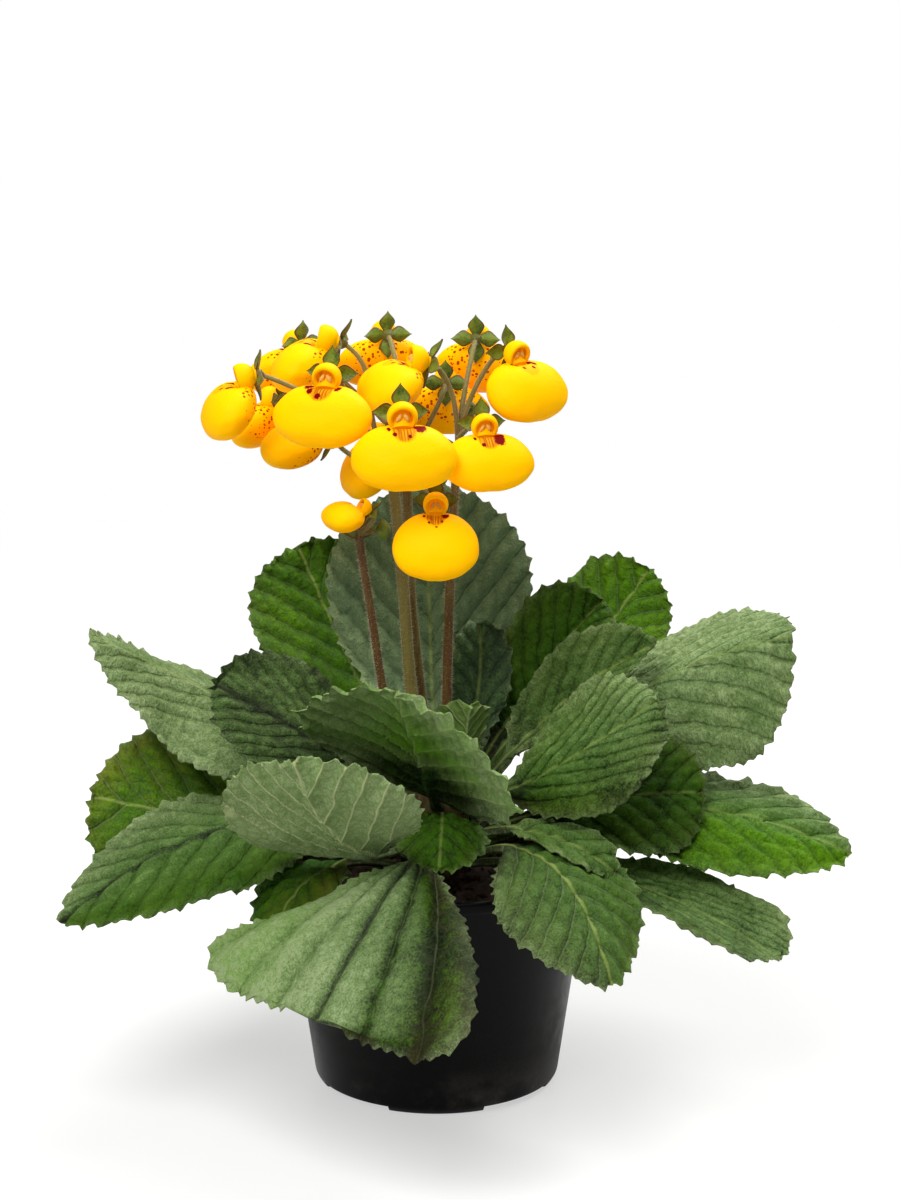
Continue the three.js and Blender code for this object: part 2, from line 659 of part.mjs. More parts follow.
// The stalk from the scape's fork to the back of a calyx, which it meets from behind.
function pedicelSolid(fork, bloom) {
  const back = new THREE.Vector3(-1, 0, 0).transformDirection(bloomMatrix(bloom));
  const end = vector(bloom.calyx).addScaledVector(back, CALYX.depth * bloom.size * CALYX.sunk);
  const reach = fork.distanceTo(end);
  const before = end.clone().addScaledVector(back, reach * PEDICEL.behind);
  before.addScaledVector(UP, -reach * PEDICEL.below);
  const start = bloom.via ? vector(bloom.via) : fork.clone().addScaledVector(UP, reach * PEDICEL.climb);
  const curve = new THREE.CubicBezierCurve3(fork, start, before, end);
  return solid(stem(curve, PEDICEL.radii, PEDICEL.sides, PEDICEL.steps));
}

function budSolids(fork, [x, y, z, radius]) {
  const stalk = new THREE.LineCurve3(fork, new THREE.Vector3(x, y, z));
  const bud = new THREE.SphereGeometry(radius, 6, 4).scale(1, 1, BUD.stretch).translate(x, y, z);
  return [solid(stem(stalk, BUD.stalkRadii, PEDICEL.sides, 1)), solid(bud)];
}

function scapeGeometry(scape, index) {
  const curve = new THREE.CatmullRomCurve3(scape.route.map(vector));
  const fork = curve.getPoint(1);
  const root = fork.clone().addScaledVector(UP, -PEDICEL.sunk);
  const pieces = [solid(stem(curve, scape.radius, SCAPE.sides, SCAPE.steps))];
  for (const bloom of BLOOMS.filter((candidate) => candidate.scape === index)) {
    pieces.push(pedicelSolid(root, bloom), calyxSolid(bloom));
  }
  for (const turn of [0, 180]) {
    const bract = bractGeometry().rotateZ(radians(scape.bractTurn + turn));
    pieces.push(solid(bract.translate(fork.x, fork.y, fork.z - BRACT.drop)));
  }
  for (const bud of scape.buds) pieces.push(...budSolids(fork, bud));
  return geometryOf(union(pieces));
}

// ---------------------------------------------------------------- the assembly

const finish = (color, roughness) => new THREE.MeshStandardMaterial({ color, roughness, metalness: 0 });
const materials = {
  pot: finish(0x1b1b1d, 0.42),
  soil: finish(0x2a1e16, 0.95),
  crown: finish(0x4f5a2a, 0.7),
  leaf: finish(0x4f6b3a, 0.72),
  scape: finish(0x5f5a24, 0.6),
  bloom: finish(0xfbd508, 0.45),
};

function piece(name, geometry, material) {
  const mesh = new THREE.Mesh(geometry, material);
  mesh.name = name;
  return mesh;
}

const pot = new THREE.Group();
pot.add(piece("pot", potGeometry(), materials.pot));
pot.add(piece("soil", soilGeometry(), materials.soil));

const rosette = new THREE.Group();
rosette.add(piece("crown", crownGeometry(), materials.crown));
for (const leaf of LEAVES) rosette.add(piece(leaf.name, leafGeometry(leaf), materials.leaf));

const flowers = new THREE.Group();
SCAPES.forEach((scape, index) => {
  flowers.add(piece(scape.name, scapeGeometry(scape, index), materials.scape));
});
for (const bloom of BLOOMS) flowers.add(piece(bloom.name, bloomGeometry(bloom), materials.bloom));

const group = new THREE.Group();
group.add(pot, rosette, flowers);
export default group;
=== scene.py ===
"""A pocketbook plant in its black pot, dressed over its packed solids.

Values in the tables below are millimetres and degrees, in the frame of the solids: the origin is the centre
of the pot's base and the plant's front faces -Y. Blender's own lengths are metres.
"""

import math
from types import SimpleNamespace as Values

import bmesh
import bpy
import numpy as np
from bpy.props import FloatProperty, FloatVectorProperty, IntProperty, PointerProperty
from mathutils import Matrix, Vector


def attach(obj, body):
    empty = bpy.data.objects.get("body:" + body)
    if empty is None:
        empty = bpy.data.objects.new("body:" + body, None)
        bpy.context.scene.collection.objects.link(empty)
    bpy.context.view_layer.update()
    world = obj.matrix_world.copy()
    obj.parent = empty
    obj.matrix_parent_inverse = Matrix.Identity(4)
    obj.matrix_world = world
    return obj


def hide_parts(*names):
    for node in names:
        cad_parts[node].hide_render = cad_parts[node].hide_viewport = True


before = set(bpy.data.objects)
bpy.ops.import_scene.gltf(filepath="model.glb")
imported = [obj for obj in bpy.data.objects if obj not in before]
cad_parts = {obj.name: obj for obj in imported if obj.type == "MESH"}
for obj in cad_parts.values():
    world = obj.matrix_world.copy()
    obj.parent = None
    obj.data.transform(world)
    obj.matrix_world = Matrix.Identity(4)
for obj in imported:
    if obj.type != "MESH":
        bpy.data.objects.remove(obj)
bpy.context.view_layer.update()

bl_info = {
    "name": "Pocketbook plant",
    "version": (1, 0, 0),
    "blender": (4, 5, 0),
    "location": "View3D > Sidebar > Plant",
    "description": "Grows a yellow pocketbook plant in a black pot",
    "category": "Add Mesh",
}

# ---- driving dimensions

# The clearance between neighbouring solids, and a millimetre in metres.
GAP = 0.3
MM = 0.001

# The pot: its rim and wall, its base on four feet, the level pad in the middle and the drain holes round it.
POT = Values(
    height=77, rim_radius=52.5, rim_depth=4.4, lip=1.9, rim_edge=0.7, base_radius=40.5,
    corner_height=2.2, corner_inset=1.4, wall=1.2, foot_height=2, foot_inner=30, foot_spread=46, feet=4,
    pad_radius=14, drain_radius=3.6, drain_circle=22, drains=4, drain_sides=32, rounding=0.9,
)

# The soil: its level, the hole that the crown stands in, and its mound as (share of the radius, rise).
SOIL = Values(
    top=70, hole_depth=14, clearance=0.7, roughness=0.9, sides=150, rings=44, seed=11,
    mound=((1, 0), (0.8, 0.5), (0.58, 0.8), (0.33, 1)),
)

# Loose crumbs: how far they keep from the crown and the pot, their sizes, stretch and roughness.
CRUMB = Values(
    off_crown=2, off_wall=0.6, sizes=(0.22, 1), small=1.6, raised=0.15, stretch=(0.55, 1.25), flatness=0.75,
    rough=0.32, sides=7, rings=(0, 40, 80, 120, 160, 180),
)

# The crown, its narrow root and shoulder, and the rings of scales round it as (height, how many).
CROWN = Values(
    radius=11, top_radius=8.6, top=99, shoulder=3, root=4, sides=112, rows=24, ribs=14,
    scales=((78, 9), (86, 9), (92.5, 8)),
)
SCALE = Values(half_width=2.1, length=5.6, thickness=0.6, sunk=1.05, swell=0.9, turn=7)

# A leaf's stalk and blade: "joint" is the share of the stalk that turns to meet the crown, "rise" and "fall"
# shape the blade's outline, and "thinned" is the share of the blade over which the stalk thins out.
PETIOLE = Values(half_width=2.3, thickness=2.8, joint=0.55, edge=0.15)
BLADE = Values(thickness=0.9, edge=0.45, rib=1.5, rib_width=1.5, rise=1.5, fall=1.25, thinned=0.17)

# How a leaf's points are laid out: rows on its stalk and blade, columns, and the tip beyond the last row.
LEAF_MESH = Values(
    stalk_rows=12, samples=2000, lengthwise=0.6, rows=1.5, least_columns=9, edge_power=0.92, tip=0.01,
)

# The teeth of a leaf's edge: their spacing, slopes and depth, the smaller tooth on each, the stretch over
# which they grow, and the part of the blade that follows them.
TEETH = Values(
    sway=1.1, sway_size=9, rise=0.7, fall=0.3, least=0.82, uneven=0.3, second=(0.35, 0.34), grow=(2, 9),
    reach=0.78, reach_power=1.5,
)

# The course of the veins: how they bunch, run back and are staggered, how they wander as (millimetres,
# size), and the step that measures their spacing.
VEINING = Values(
    bunch=0.85, furthest=0.97, blunt=0.2, stagger=0.24, stagger_width=3, wander=((0.7, 8), (0.4, 3)),
    wander_floor=3.5, probe=0.4, spacing=(1.5, 22), midrib_power=1.5,
)

# The quilting: the size of a bulge and how uneven it is, its cross grooves on plain leaves and on fans, the
# vein spacing at which it is full, puckers as (millimetres, size), and the midrib's groove.
QUILT = Values(
    bulge=4.4, uneven=0.35, sway=(0.2, 5), round=1.9, cross=1.6, deep=(0.4, 0.6), shallow=(0.8, 0.2),
    sunk=0.35, shown=(0.8, 4), full=7, puckers=((0.4, 3.3), (0.22, 1.8)), pucker_from=(0.4, 3), groove=0.8,
    groove_width=1.6,
)

# The waves of a blade's edge: their size, how far apart both edges lie for them, and where they set in.
WAVE = Values(size=19, across=30, outer=1.6, grow=(0, 0.25))

# Each leaf: seat on the crown (azimuth, height), middle and tip of its midrib, then width, share of the
# blade where it is widest, share of the length that is stalk, roll at both ends, fold and cup.
LEAVES = {
    "front_wide": ((262, 75), (-12, -56, 87), (-37, -93, 54.5), 96, 0.86, 0.3, (-2, 12), -0.1, -0.08),
    "front_right": ((300, 75), (35, -50, 91), (55, -78, 60.5), 46, 0.5, 0.27, (11, 7), -0.15, -0.2),
    "front_small": ((278, 88), (2, -32, 99.5), (1, -50, 88.5), 28, 0.55, 0.25, (0, 0), -0.1, -0.2),
    "front_raised": ((240, 85), (-29, -46, 93), (-43, -78, 132), 62, 0.52, 0.34, (14, 14), 0.05, 0.1),
    "centre_awning": ((272, 96), (-4, -32, 117), (-12, -56, 148), 74, 0.55, 0.16, (-18, -18), 0, -0.2),
    "left_small": ((222, 73), (-36, -32, 82), (-52, -49, 65), 30, 0.6, 0.35, (4, -8), 0, -0.1),
    "left_low": ((198, 77), (-64, -24, 94), (-120, -36, 66), 46, 0.42, 0.26, (-24, -24), -0.25, 0),
    "left_broad": ((178, 83), (-62, 2, 86), (-113, 4, 95), 56, 0.6, 0.36, (-50, -58), 0, -0.08),
    "left_high": ((172, 90), (-66, 10, 124), (-113, 8, 149), 48, 0.34, 0.2, (-16, -16), -0.4, -0.1),
    "left_middle": ((205, 95), (-37, -16, 119), (-70, -24, 141), 42, 0.62, 0.2, (-60, -50), 0, 0.1),
    "back_left": ((130, 94), (-29, 44, 129), (-47, 66, 164), 54, 0.58, 0.2, (-14, -14), 0.05, 0.1),
    "back_tall": ((92, 92), (-2, 42, 134), (-4, 62, 186), 67, 0.58, 0.2, (0, 0), 0.05, 0.1),
    "inner_dark": ((70, 97), (13, 12, 124), (14, 18, 150), 19, 0.6, 0.2, (50, 54), 0.2, 0.1),
    "inner_bright": ((330, 98), (9, -10, 116), (11, -13, 131), 17, 0.6, 0.2, (10, 10), 0.2, 0.2),
    "back_low_left": ((150, 80), (-50, 32, 98), (-86, 54, 92), 50, 0.58, 0.28, (0, 10), -0.1, -0.1),
    "back_hanging": ((112, 76), (-24, 58, 93), (-42, 96, 62), 52, 0.6, 0.3, (0, 8), -0.1, -0.15),
    "back_low_middle": ((76, 78), (14, 60, 100), (22, 104, 84), 56, 0.6, 0.28, (0, -6), -0.1, -0.1),
    "back_low_right": ((38, 78), (52, 38, 96), (88, 66, 76), 50, 0.58, 0.28, (0, 0), -0.1, -0.1),
    "back_middle_left": ((112, 86), (-16, 54, 120), (-28, 92, 134), 50, 0.6, 0.24, (0, 0), 0.05, -0.1),
    "back_middle_right": ((62, 86), (26, 54, 112), (44, 92, 122), 44, 0.6, 0.24, (0, 0), 0.05, -0.1),
    "back_right": ((50, 93), (46, 48, 126), (72, 62, 157), 45, 0.6, 0.2, (14, 14), 0, 0.1),
    "right_folded": ((27, 96.5), (32, 23, 128), (55, 34, 154), 32, 0.6, 0.2, (30, 40), 0.5, 0),
    "right_curled": ((0, 93.5), (41, 6, 126), (71, 6, 146), 26, 0.55, 0.2, (30, 34), 0.3, 0.2),
    "right_centre": ((335, 93), (39, -26, 115), (70, -33, 139), 46, 0.6, 0.22, (50, 50), -0.1, 0),
    "right_high": ((355, 87), (64, 4, 130), (115, 0, 151), 60, 0.62, 0.22, (32, 34), -0.55, -0.05),
    "right_under": ((344, 83), (50, -20, 101), (86, -20, 104), 40, 0.65, 0.25, (50, 50), 0, -0.1),
    "right_long": ((352, 78), (70, -14, 98), (134, -20, 84), 44, 0.5, 0.3, (24, 24), -0.15, -0.1),
    "right_low": ((328, 75), (59, -30, 78), (109, -56, 60.5), 34, 0.7, 0.3, (10, 8), 0.1, 0.05),
    "right_narrow": ((316, 84), (33, -35.5, 95.5), (57, -47, 86), 16, 0.55, 0.3, (16, 16), 0.3, 0),
}

# How a leaf's blade is painted: (at the middle of the base, added towards the tip, towards the left edge,
# towards both edges), or one number for all of it. "frost_and_sheen" is the grey of fine hairs and a painted
# sheen on the lit side of some leaves, "light" runs from painted shade to painted sunlight, "vein" from dark
# lines of painted shade in the vein grooves to pale veins, and "warm" from blue-green to brown.
PLAIN_PAINT = {"frost_and_sheen": 0.2, "light": 0.45, "vein": 0.35, "warm": (0, 0, 0, 0.1)}
PAINT = {
    "front_wide": {
        "frost_and_sheen": (0.5, 0.3, -1, -0.05), "light": (0.42, 0.1, -0.6, 0.1), "vein": (0.9, -0.4, 0, 0),
    },
    "front_right": {"frost_and_sheen": (0.08, 0.1, -0.1, 0), "light": (0.42, 0, 0.1, 0), "vein": 0.8},
    "front_small": {"frost_and_sheen": 0, "light": 0.4, "vein": 0.2},
    "front_raised": {"frost_and_sheen": (0.55, 0.8, 0, 0.1), "light": (0.5, 0.3, 0, 0), "vein": 0.95},
    # centre_awning: its foot is painted near black as the shade under it, its margin pale with hairs and
    # painted light.
    "centre_awning": {"frost_and_sheen": (-1.1, 1.9, 0, 1.4), "light": (-1.15, 3.5, 0, 0.5), "vein": 0.2},
    "left_small": {"frost_and_sheen": 0, "warm": (0, 0.25, 0.25, 0)},
    "left_low": {"frost_and_sheen": (0.3, 0, -0.35, 0), "light": 0.5, "vein": 0.15},
    "left_broad": {"frost_and_sheen": 0.02, "light": 0.75, "vein": 0.8, "warm": (0.1, 0.15, 0, 0.2)},
    "left_high": {"frost_and_sheen": (0.6, 0.3, 0, 0), "light": 0.55, "vein": 0.3},
    "left_middle": {"frost_and_sheen": (0.28, 0, 0, -0.1), "light": 0.28, "vein": 0.3, "warm": 0},
    "back_left": {"frost_and_sheen": 0, "light": (0.6, 0.1, 0, 0), "vein": 0.7},
    "back_tall": {"frost_and_sheen": 0.5, "light": 0.55, "vein": 0.8, "warm": -0.6},
    "inner_dark": {"frost_and_sheen": 0.15, "light": 0.2, "warm": -0.2},
    "inner_bright": {"frost_and_sheen": 0.05, "light": 0.6},
    "back_right": {"frost_and_sheen": 0, "light": 0.8, "vein": 0.75},
    "right_folded": {"frost_and_sheen": 0.02, "light": 0.42, "vein": 0.1},
    "right_curled": {"frost_and_sheen": 0.25},
    "right_centre": {"frost_and_sheen": (0.05, 0.35, 0.15, 0), "light": (0.45, 0, 0.15, 0), "vein": 0},
    "right_high": {"frost_and_sheen": (0.75, 0, 0.1, 0), "light": 0.6, "vein": 0.1},
    "right_under": {"frost_and_sheen": 0.02, "light": 0.38, "vein": 0.1},
    "right_long": {"frost_and_sheen": (0.2, 0, 0.6, 0), "light": (0.7, 0, -0.12, 0)},
    "right_low": {"frost_and_sheen": (0.2, 0.2, 0, 0), "light": 0.42, "vein": 0},
}

# How many veins leave the midrib on each side, and how far each runs forward before it meets the edge.
PLAIN_VEINS = (8, 0.5)
VEINS = {
    "front_raised": (6, 0.85), "front_small": (6, 0.5), "left_small": (6, 0.5), "left_high": (6.5, 1.1),
    "left_broad": (7, 0.5), "left_middle": (8, 0.8), "back_tall": (9, 0.6), "inner_dark": (6, 0.4),
    "inner_bright": (6, 0.4), "right_centre": (7, 0.95), "right_high": (6.5, 0.9), "right_low": (6, 1.3),
    "right_narrow": (5, 0.4),
}

# Leaves whose veins fan out: from how far behind the blade's base and to its left, and by how many degrees.
FANS = {"front_wide": (7, 0, 12.5)}

# Midribs that start this far to the left of the blade's middle.
MIDRIB_STARTS = {"front_raised": 10}

# Leaves whose midrib is a groove painted dark with shade, not a pale line.
PLAIN_RIBS = ("front_wide", "left_low", "left_middle")

# Leaves whose right half is fuller near the tip: by how much, where along the blade and over how much of it.
FULLER = {"front_wide": (0.2, 0.82, 0.22)}

# Leaves with larger or smaller teeth, as a share of the usual size.
TOOTH_SIZES = {"centre_awning": 2, "front_raised": 0.9, "front_wide": 0.9, "right_narrow": 0.7}

# How russet each scape is at its base and at its fork.
RUSSET = {"left": (0.9, 0.75), "middle": (0.45, 0.05), "behind": (0.7, 0.35), "right": (0.9, 0.5)}

# Scapes: radii at both ends, the turn of the bract pair, the route, and the buds as (x, y, z, radius).
SCAPES = {
    "left": (
        (1.5, 1.3), 20,
        ((-6, -1, 99.9), (-16, -3, 128), (-21, -5, 160), (-25, -8, 187)),
        ((-17, -9, 189, 2.6), (-21, -3, 193, 2.2)),
    ),
    "middle": (
        (2.1, 1.8), 60,
        ((-1.5, -3.5, 99.9), (-7.5, -1, 128), (-11, -1, 172), (-14, -1, 205)),
        (),
    ),
    "behind": (
        (1.9, 1.6), 110,
        ((-1, 3, 99.9), (-4.5, 5, 125), (-8.5, 7, 166), (-9.5, 8, 203)),
        ((1.5, 0, 205, 2.7),),
    ),
    "right": (
        (1.8, 1.4), 0,
        ((4, -0.5, 99.9), (3.5, 0, 127), (4.5, 2, 168), (7, 6, 214)),
        ((11, 12, 224, 2.2),),
    ),
}

# Marks round a bloom's mouth: degrees from straight down, positive to its left, then radius and size.
FEW_MARKS = ((-46, 5.2, 0.55), (-24, 5.6, 0.4), (16, 5.6, 0.45), (44, 5.3, 0.7))
BLOOM_MARKS = {
    "centre_left": ((-62, 5.9, 1.15), (-38, 6.2, 0.8), (-4, 6.5, 0.8), (54, 6, 0.75)),
    "front_centre": ((-50, 6, 0.5), (-28, 6.3, 0.55), (14, 6.5, 0.5), (57, 6.1, 1.45)),
    "front_low": ((-45, 6.2, 0.4), (-20, 7.4, 0.4), (2, 8.6, 0.4), (42, 5.4, 1.1), (20, 7, 0.4)),
    "front_right": ((-48, 6.2, 0.45), (-18, 6.9, 0.6), (38, 6.4, 1.5), (54, 6, 1.0)),
}

# Blooms: scape, middle of the calyx, azimuth that it faces, nod and size.
BLOOMS = {
    "far_left": ("middle", (-57, -6, 239), 190, 0, 0.92),
    "upper_left": ("middle", (-31, 17, 245), 172, -18, 0.95),
    "centre_left": ("middle", (-33, -12, 241), 254, 0, 0.98),
    "lower_left": ("middle", (-33, 12, 213.5), 172, -42, 0.9),
    "left_hidden": ("middle", (-51, 27, 224.5), 150, 0, 0.8),
    "front_centre": ("middle", (-11, -24, 231), 276, 0, 1.02),
    "front_low": ("behind", (0, -22, 202), 270, 0, 0.84),
    "low_behind": ("behind", (-15, 24, 214), 196, 6, 0.85),
    "back_centre": ("behind", (-16, 30, 245), 105, 0, 0.9),
    "back_left": ("behind", (-44.5, 45, 239), 120, 0, 0.9),
    "back_middle": ("behind", (3, 20, 231), 90, 0, 0.88),
    "front_right": ("right", (14.5, -14.5, 225.5), 282, 0, 0.9),
    "far_right": ("right", (23, 4, 245), 308, 0, 0.92),
    "back_right": ("right", (13, 28, 244), 82, 0, 0.92),
    "upper_centre": ("right", (-2, 4, 241), 196, -22, 0.95),
    "young": ("left", (-21, -14, 196), 200, -45, 0.58),
}

# Plumper blooms, and blooms whose stalk passes a point of its own.
PLUMP = {"front_low": 1.25, "low_behind": 1.1, "far_right": 1.05}
VIAS = {
    "upper_left": (-27, 22, 226), "centre_left": (-27, -5, 222), "left_hidden": (-22, 20, 226),
    "back_left": (0, 36, 203),
}

# The parts of a bloom at size 1, in its own frame: it faces +X from the middle of its calyx.
POUCH = Values(centre=(10, 0, -12), tilt=50, long=11.5, wide=16.4, thick=8)
MOUTH = Values(direction=(-0.85, 0, 0.52), spread=0.42, depth=0.17, pit=0.2, pit_spread=0.16)
HOOD = Values(centre=(5.3, 0, -0.5), outer=4.8, wall=0.8, opening=108, tilt=14, roll=0.75, sides=40)
ANTHER = Values(stretch=(0.75, 0.75, 1.6), lean=28, ahead=6.6, apart=1.15, lower=0.1)

# The paint round the mouth: the slope that its angles are measured on, where the pouch's front begins, the
# throat and how faint it is on blooms with few marks, and how far a mark spreads and is felt.
MARKS = Values(
    slope=15, front=(5.8, 7.0), throat=(4.0, 3.2), throat_top=4.4, faint=0.35, spread=1.25, furthest=4.0,
)
NECK = Values(end=(5, 0, -4.5), radii=(2, 3.6))

# The green star behind a bloom and the cup that carries it, as (radius, height) pairs.
SEPAL = Values(
    length=8.2, width=6, thickness=0.56, keel=0.25, reflex=14, start=0.8, bend=0.05, bend_from=5,
)
CALYX = Values(radius=2.1, depth=2.4, sunk=0.55, sides=14)
CUP = ((0, 0.15), (1.7, 0.1), (2.2, -0.6), (1.9, -1.4), (1.25, -2.1), (0.8, -2.6), (0, -2.7))

# A pointed leaflet's outline: its width at the base and where it is widest, and how blunt its tip is.
LEAFLET = Values(base=0.42, widest=0.45, sharp=0.85, rows=15, columns=9)
BRACT = Values(length=9, width=4.5, thickness=0.49, keel=0.3, tilt=50, drop=1.5, arch=0.02)
BUD = Values(stalk_radii=(0.8, 0.7), stretch=1.3, seam=0.1, pinch=0.25, steps=8, sides=10)
PEDICEL = Values(radii=(0.9, 0.75), climb=0.22, behind=0.3, below=0.1, sunk=1, steps=26, sides=12)
STEM = Values(steps=70, sides=18, uneven=0.05, uneven_size=6)

# Hairs: half the width of a foot, its depth, their lengths and lean, and how many fewer and how much shorter
# they are on the stalks of blooms.
HAIR = Values(foot=0.055, rooted=0.05, lengths=(0.4, 1), lean=(-0.2, 0.5), fewer=8, shorter=0.6)

# Screen colours of finishes that have no setting.
TINTS = {
    "pale vein": (196, 204, 146),
    "damp olive": (20, 22, 8),
    "damp brown": (20, 12, 6),
    "sepal shade": (46, 72, 18),
    "hair root": (150, 132, 96),
    "hair tip": (214, 206, 178),
    "throat stripe": (140, 66, 8),
    "blotch edge": (226, 110, 30),
    "anther shade": (226, 150, 48),
}

# The camera stands in front of the plant and looks along +Y, pitched down.
CAMERA = Values(place=(4.5, -1255.4, 499.6), pitch=15, lens=120, sensor=36, clip=(0.05, 100))

# Lamps: place, the point that they face, and size.
LAMPS = {
    "key": ((-300, -550, 1050), (0, 0, 120), 800),
    "back": ((380, 500, 1000), (0, 0, 150), 800),
}

# The floor fades out between these distances from the pot, in metres.
FLOOR_EDGE = (0.3, 0.9)
FLOOR_SIDES = 64

# The angles at which a turned pot and a grown piece show a crease.
POT_CREASE = 35
PIECE_CREASE = 52

UP = np.array((0.0, 0.0, 1.0))


def from_screen(red, green, blue):
    """A screen colour of 0 to 255 a channel as Blender's linear colour."""
    return tuple((channel / 255) ** 2.2 for channel in (red, green, blue))


def tint(name):
    """A colour of the table of tints."""
    return from_screen(*TINTS[name])


# ---- what a user would change


def length(name, description, default):
    """A length setting, given in millimetres and kept in metres."""
    return FloatProperty(name=name, description=description, default=default * MM, min=0, unit="LENGTH")


def colour(name, thing, red, green, blue):
    """A setting for the colour of a thing, given as a screen colour."""
    return FloatVectorProperty(
        name=name, description=f"Colour of {thing}", default=from_screen(red, green, blue), min=0, max=1,
        size=3, subtype="COLOR",
    )


def share(name, description, default, most=1.0):
    """A plain number setting from 0 upwards."""
    return FloatProperty(name=name, description=description, default=default, min=0, max=most)


class PotSettings(bpy.types.PropertyGroup):
    """The pot's finish."""

    black: colour("Black", "the pot's plastic", 5, 5, 7)
    dust: colour("Dust", "the dust on the pot", 95, 90, 84)
    sides: IntProperty(name="Sides", description="Faces round the pot", default=144, min=24, max=256)


class SoilSettings(bpy.types.PropertyGroup):
    """The soil and its crumbs."""

    dark: colour("Damp", "damp soil", 24, 17, 13)
    pale: colour("Dry", "dry soil and bark", 82, 61, 44)
    crumb: length("Crumb size", "Size of the largest crumbs across", 3.2)
    crumbs: IntProperty(name="Crumbs", description="Number of loose crumbs", default=900, min=0, max=4000)


class LeafSettings(bpy.types.PropertyGroup):
    """The leaves."""

    shade: colour("Shaded green", "a leaf's darkest parts", 10, 27, 2)
    green: colour("Green", "a leaf's upper face", 56, 94, 10)
    sunlit: colour("Sunlit green", "a leaf that the light shines through", 90, 140, 8)
    # The grey of fine hairs; the same colour paints the sheen on the lit side and bulges of some leaves.
    frost_and_sheen: colour("Frost", "the fine grey hairs", 150, 168, 120)
    underside: colour("Underside", "a leaf's lower face", 94, 118, 60)
    cool: colour("Cool tint", "shaded old leaves", 84, 116, 96)
    rib: colour("Midrib", "the midrib and of pale veins", 156, 172, 92)
    warm: colour("Warm tint", "old edges", 126, 92, 40)
    tooth: length("Tooth depth", "How far the teeth of the edge stand out", 2.0)
    pitch: length("Tooth spacing", "Distance from one tooth to the next", 5.4)
    quilt: length("Quilting", "How far the blade bulges between its veins", 2.2)
    wave: length("Waves", "How far the edges wave up and down", 2.8)
    step: length("Mesh step", "Distance between the points of a leaf's mesh", 1.15)


class StemSettings(bpy.types.PropertyGroup):
    """The flower stems and the green stars behind the blooms."""

    olive: colour("Olive", "the green side of a stem", 128, 118, 62)
    russet: colour("Russet", "the red side of a stem", 98, 66, 36)
    sepal: colour("Sepal", "the green stars and bracts", 112, 130, 36)
    rim: colour("Sepal edge", "the sepals' edges", 92, 70, 30)
    hair: length("Hair length", "Length of the longest hairs on the stems", 1.3)
    hairs: IntProperty(name="Hairs", description="Hairs on each scape", default=1500, min=0, max=6000)


class BloomSettings(bpy.types.PropertyGroup):
    """The blooms."""

    yellow: colour("Yellow", "the pouch's face", 255, 184, 0)
    # The orange is painted shade: the pouch turns to it on its lower side, front rim and flanks.
    shade_orange: colour("Orange", "the pouch's back", 242, 154, 0)
    throat: colour("Throat", "the throat", 226, 146, 16)
    blotch: colour("Blotch", "the marks round the mouth", 104, 3, 8)
    speckle: colour("Speckle", "the fine dots on the back", 158, 58, 6)
    anther: colour("Anther", "the anthers", 252, 204, 104)
    rings: IntProperty(name="Rings", description="Rings of faces on the pouch", default=60, min=12, max=160)
    rays: IntProperty(name="Rays", description="Faces round the pouch", default=88, min=16, max=200)


class StageSettings(bpy.types.PropertyGroup):
    """The floor, the light and the camera."""

    floor: colour("Floor", "the floor", 178, 177, 175)
    sky: share("Sky light", "Strength of the even white light", 0.22, 5)
    key: share("Key light", "Power of the large lamp above the front", 14, 500)
    rim: share("Back light", "Power of the lamp above the back", 13, 500)


SETTINGS = {
    "plant_pot": PotSettings,
    "plant_soil": SoilSettings,
    "plant_leaf": LeafSettings,
    "plant_stem": StemSettings,
    "plant_bloom": BloomSettings,
    "plant_stage": StageSettings,
}

# ---- points and curves


def mix(low, high, amount):
    """The value between low and high at an amount from 0 to 1."""
    return low + (high - low) * amount


def unit(vectors):
    """The vectors at length 1."""
    return vectors / np.maximum(np.linalg.norm(vectors, axis=-1, keepdims=True), 1e-9)


def ease(low, high, value):
    """0 below low, 1 above high and a smooth step between them."""
    amount = np.clip((value - low) / (high - low), 0, 1)
    return amount * amount * (3 - 2 * amount)


def bell(distance, width):
    """1 at no distance, falling off smoothly over the width."""
    return np.exp(-((distance / width) ** 2))


def lattice(cells, seed):
    """A steady random value from -1 to 1 for each whole-number cell."""
    value = np.sin(cells @ np.array((127.1, 311.7, 74.7)) + seed * 17.31) * 43758.5453
    return 2 * (value - np.floor(value)) - 1


def lumps(points, size, seed):
    """Smooth random values from -1 to 1 whose features are about size across."""
    scaled = np.asarray(points, float) / size
    cells = np.floor(scaled)
    inside = scaled - cells
    inside = inside * inside * (3 - 2 * inside)
    total = 0
    for corner in np.ndindex(2, 2, 2):
        weight = np.prod(np.where(np.array(corner) == 1, inside, 1 - inside), axis=-1)
        total = total + weight * lattice(cells + np.array(corner), seed)
    return total


def around(radius, azimuth, height):
    """The point at a radius and azimuth round the pot's axis, at a height."""
    angle = math.radians(azimuth)
    return np.array((radius * math.cos(angle), radius * math.sin(angle), height))


def together(*values):
    """Values side by side as points or tones, each spread over all of them."""
    return np.stack(np.broadcast_arrays(*values), axis=-1)


def circle(sides):
    """Evenly spaced angles once round, in radians."""
    return np.linspace(0, 2 * math.pi, sides, endpoint=False)


def ball_profile(angles):
    """A unit ball's outline as (radius, height) pairs, at angles in degrees from its lowest point."""
    angles = np.radians(angles)
    return together(np.sin(angles), -np.cos(angles))


def along_x(values):
    """Points on the X axis at the values."""
    return together(values, 0, 0)


def run_along(line):
    """The length of a line up to each of its points."""
    return np.concatenate([[0], np.cumsum(np.linalg.norm(np.diff(line, axis=0), axis=1))])


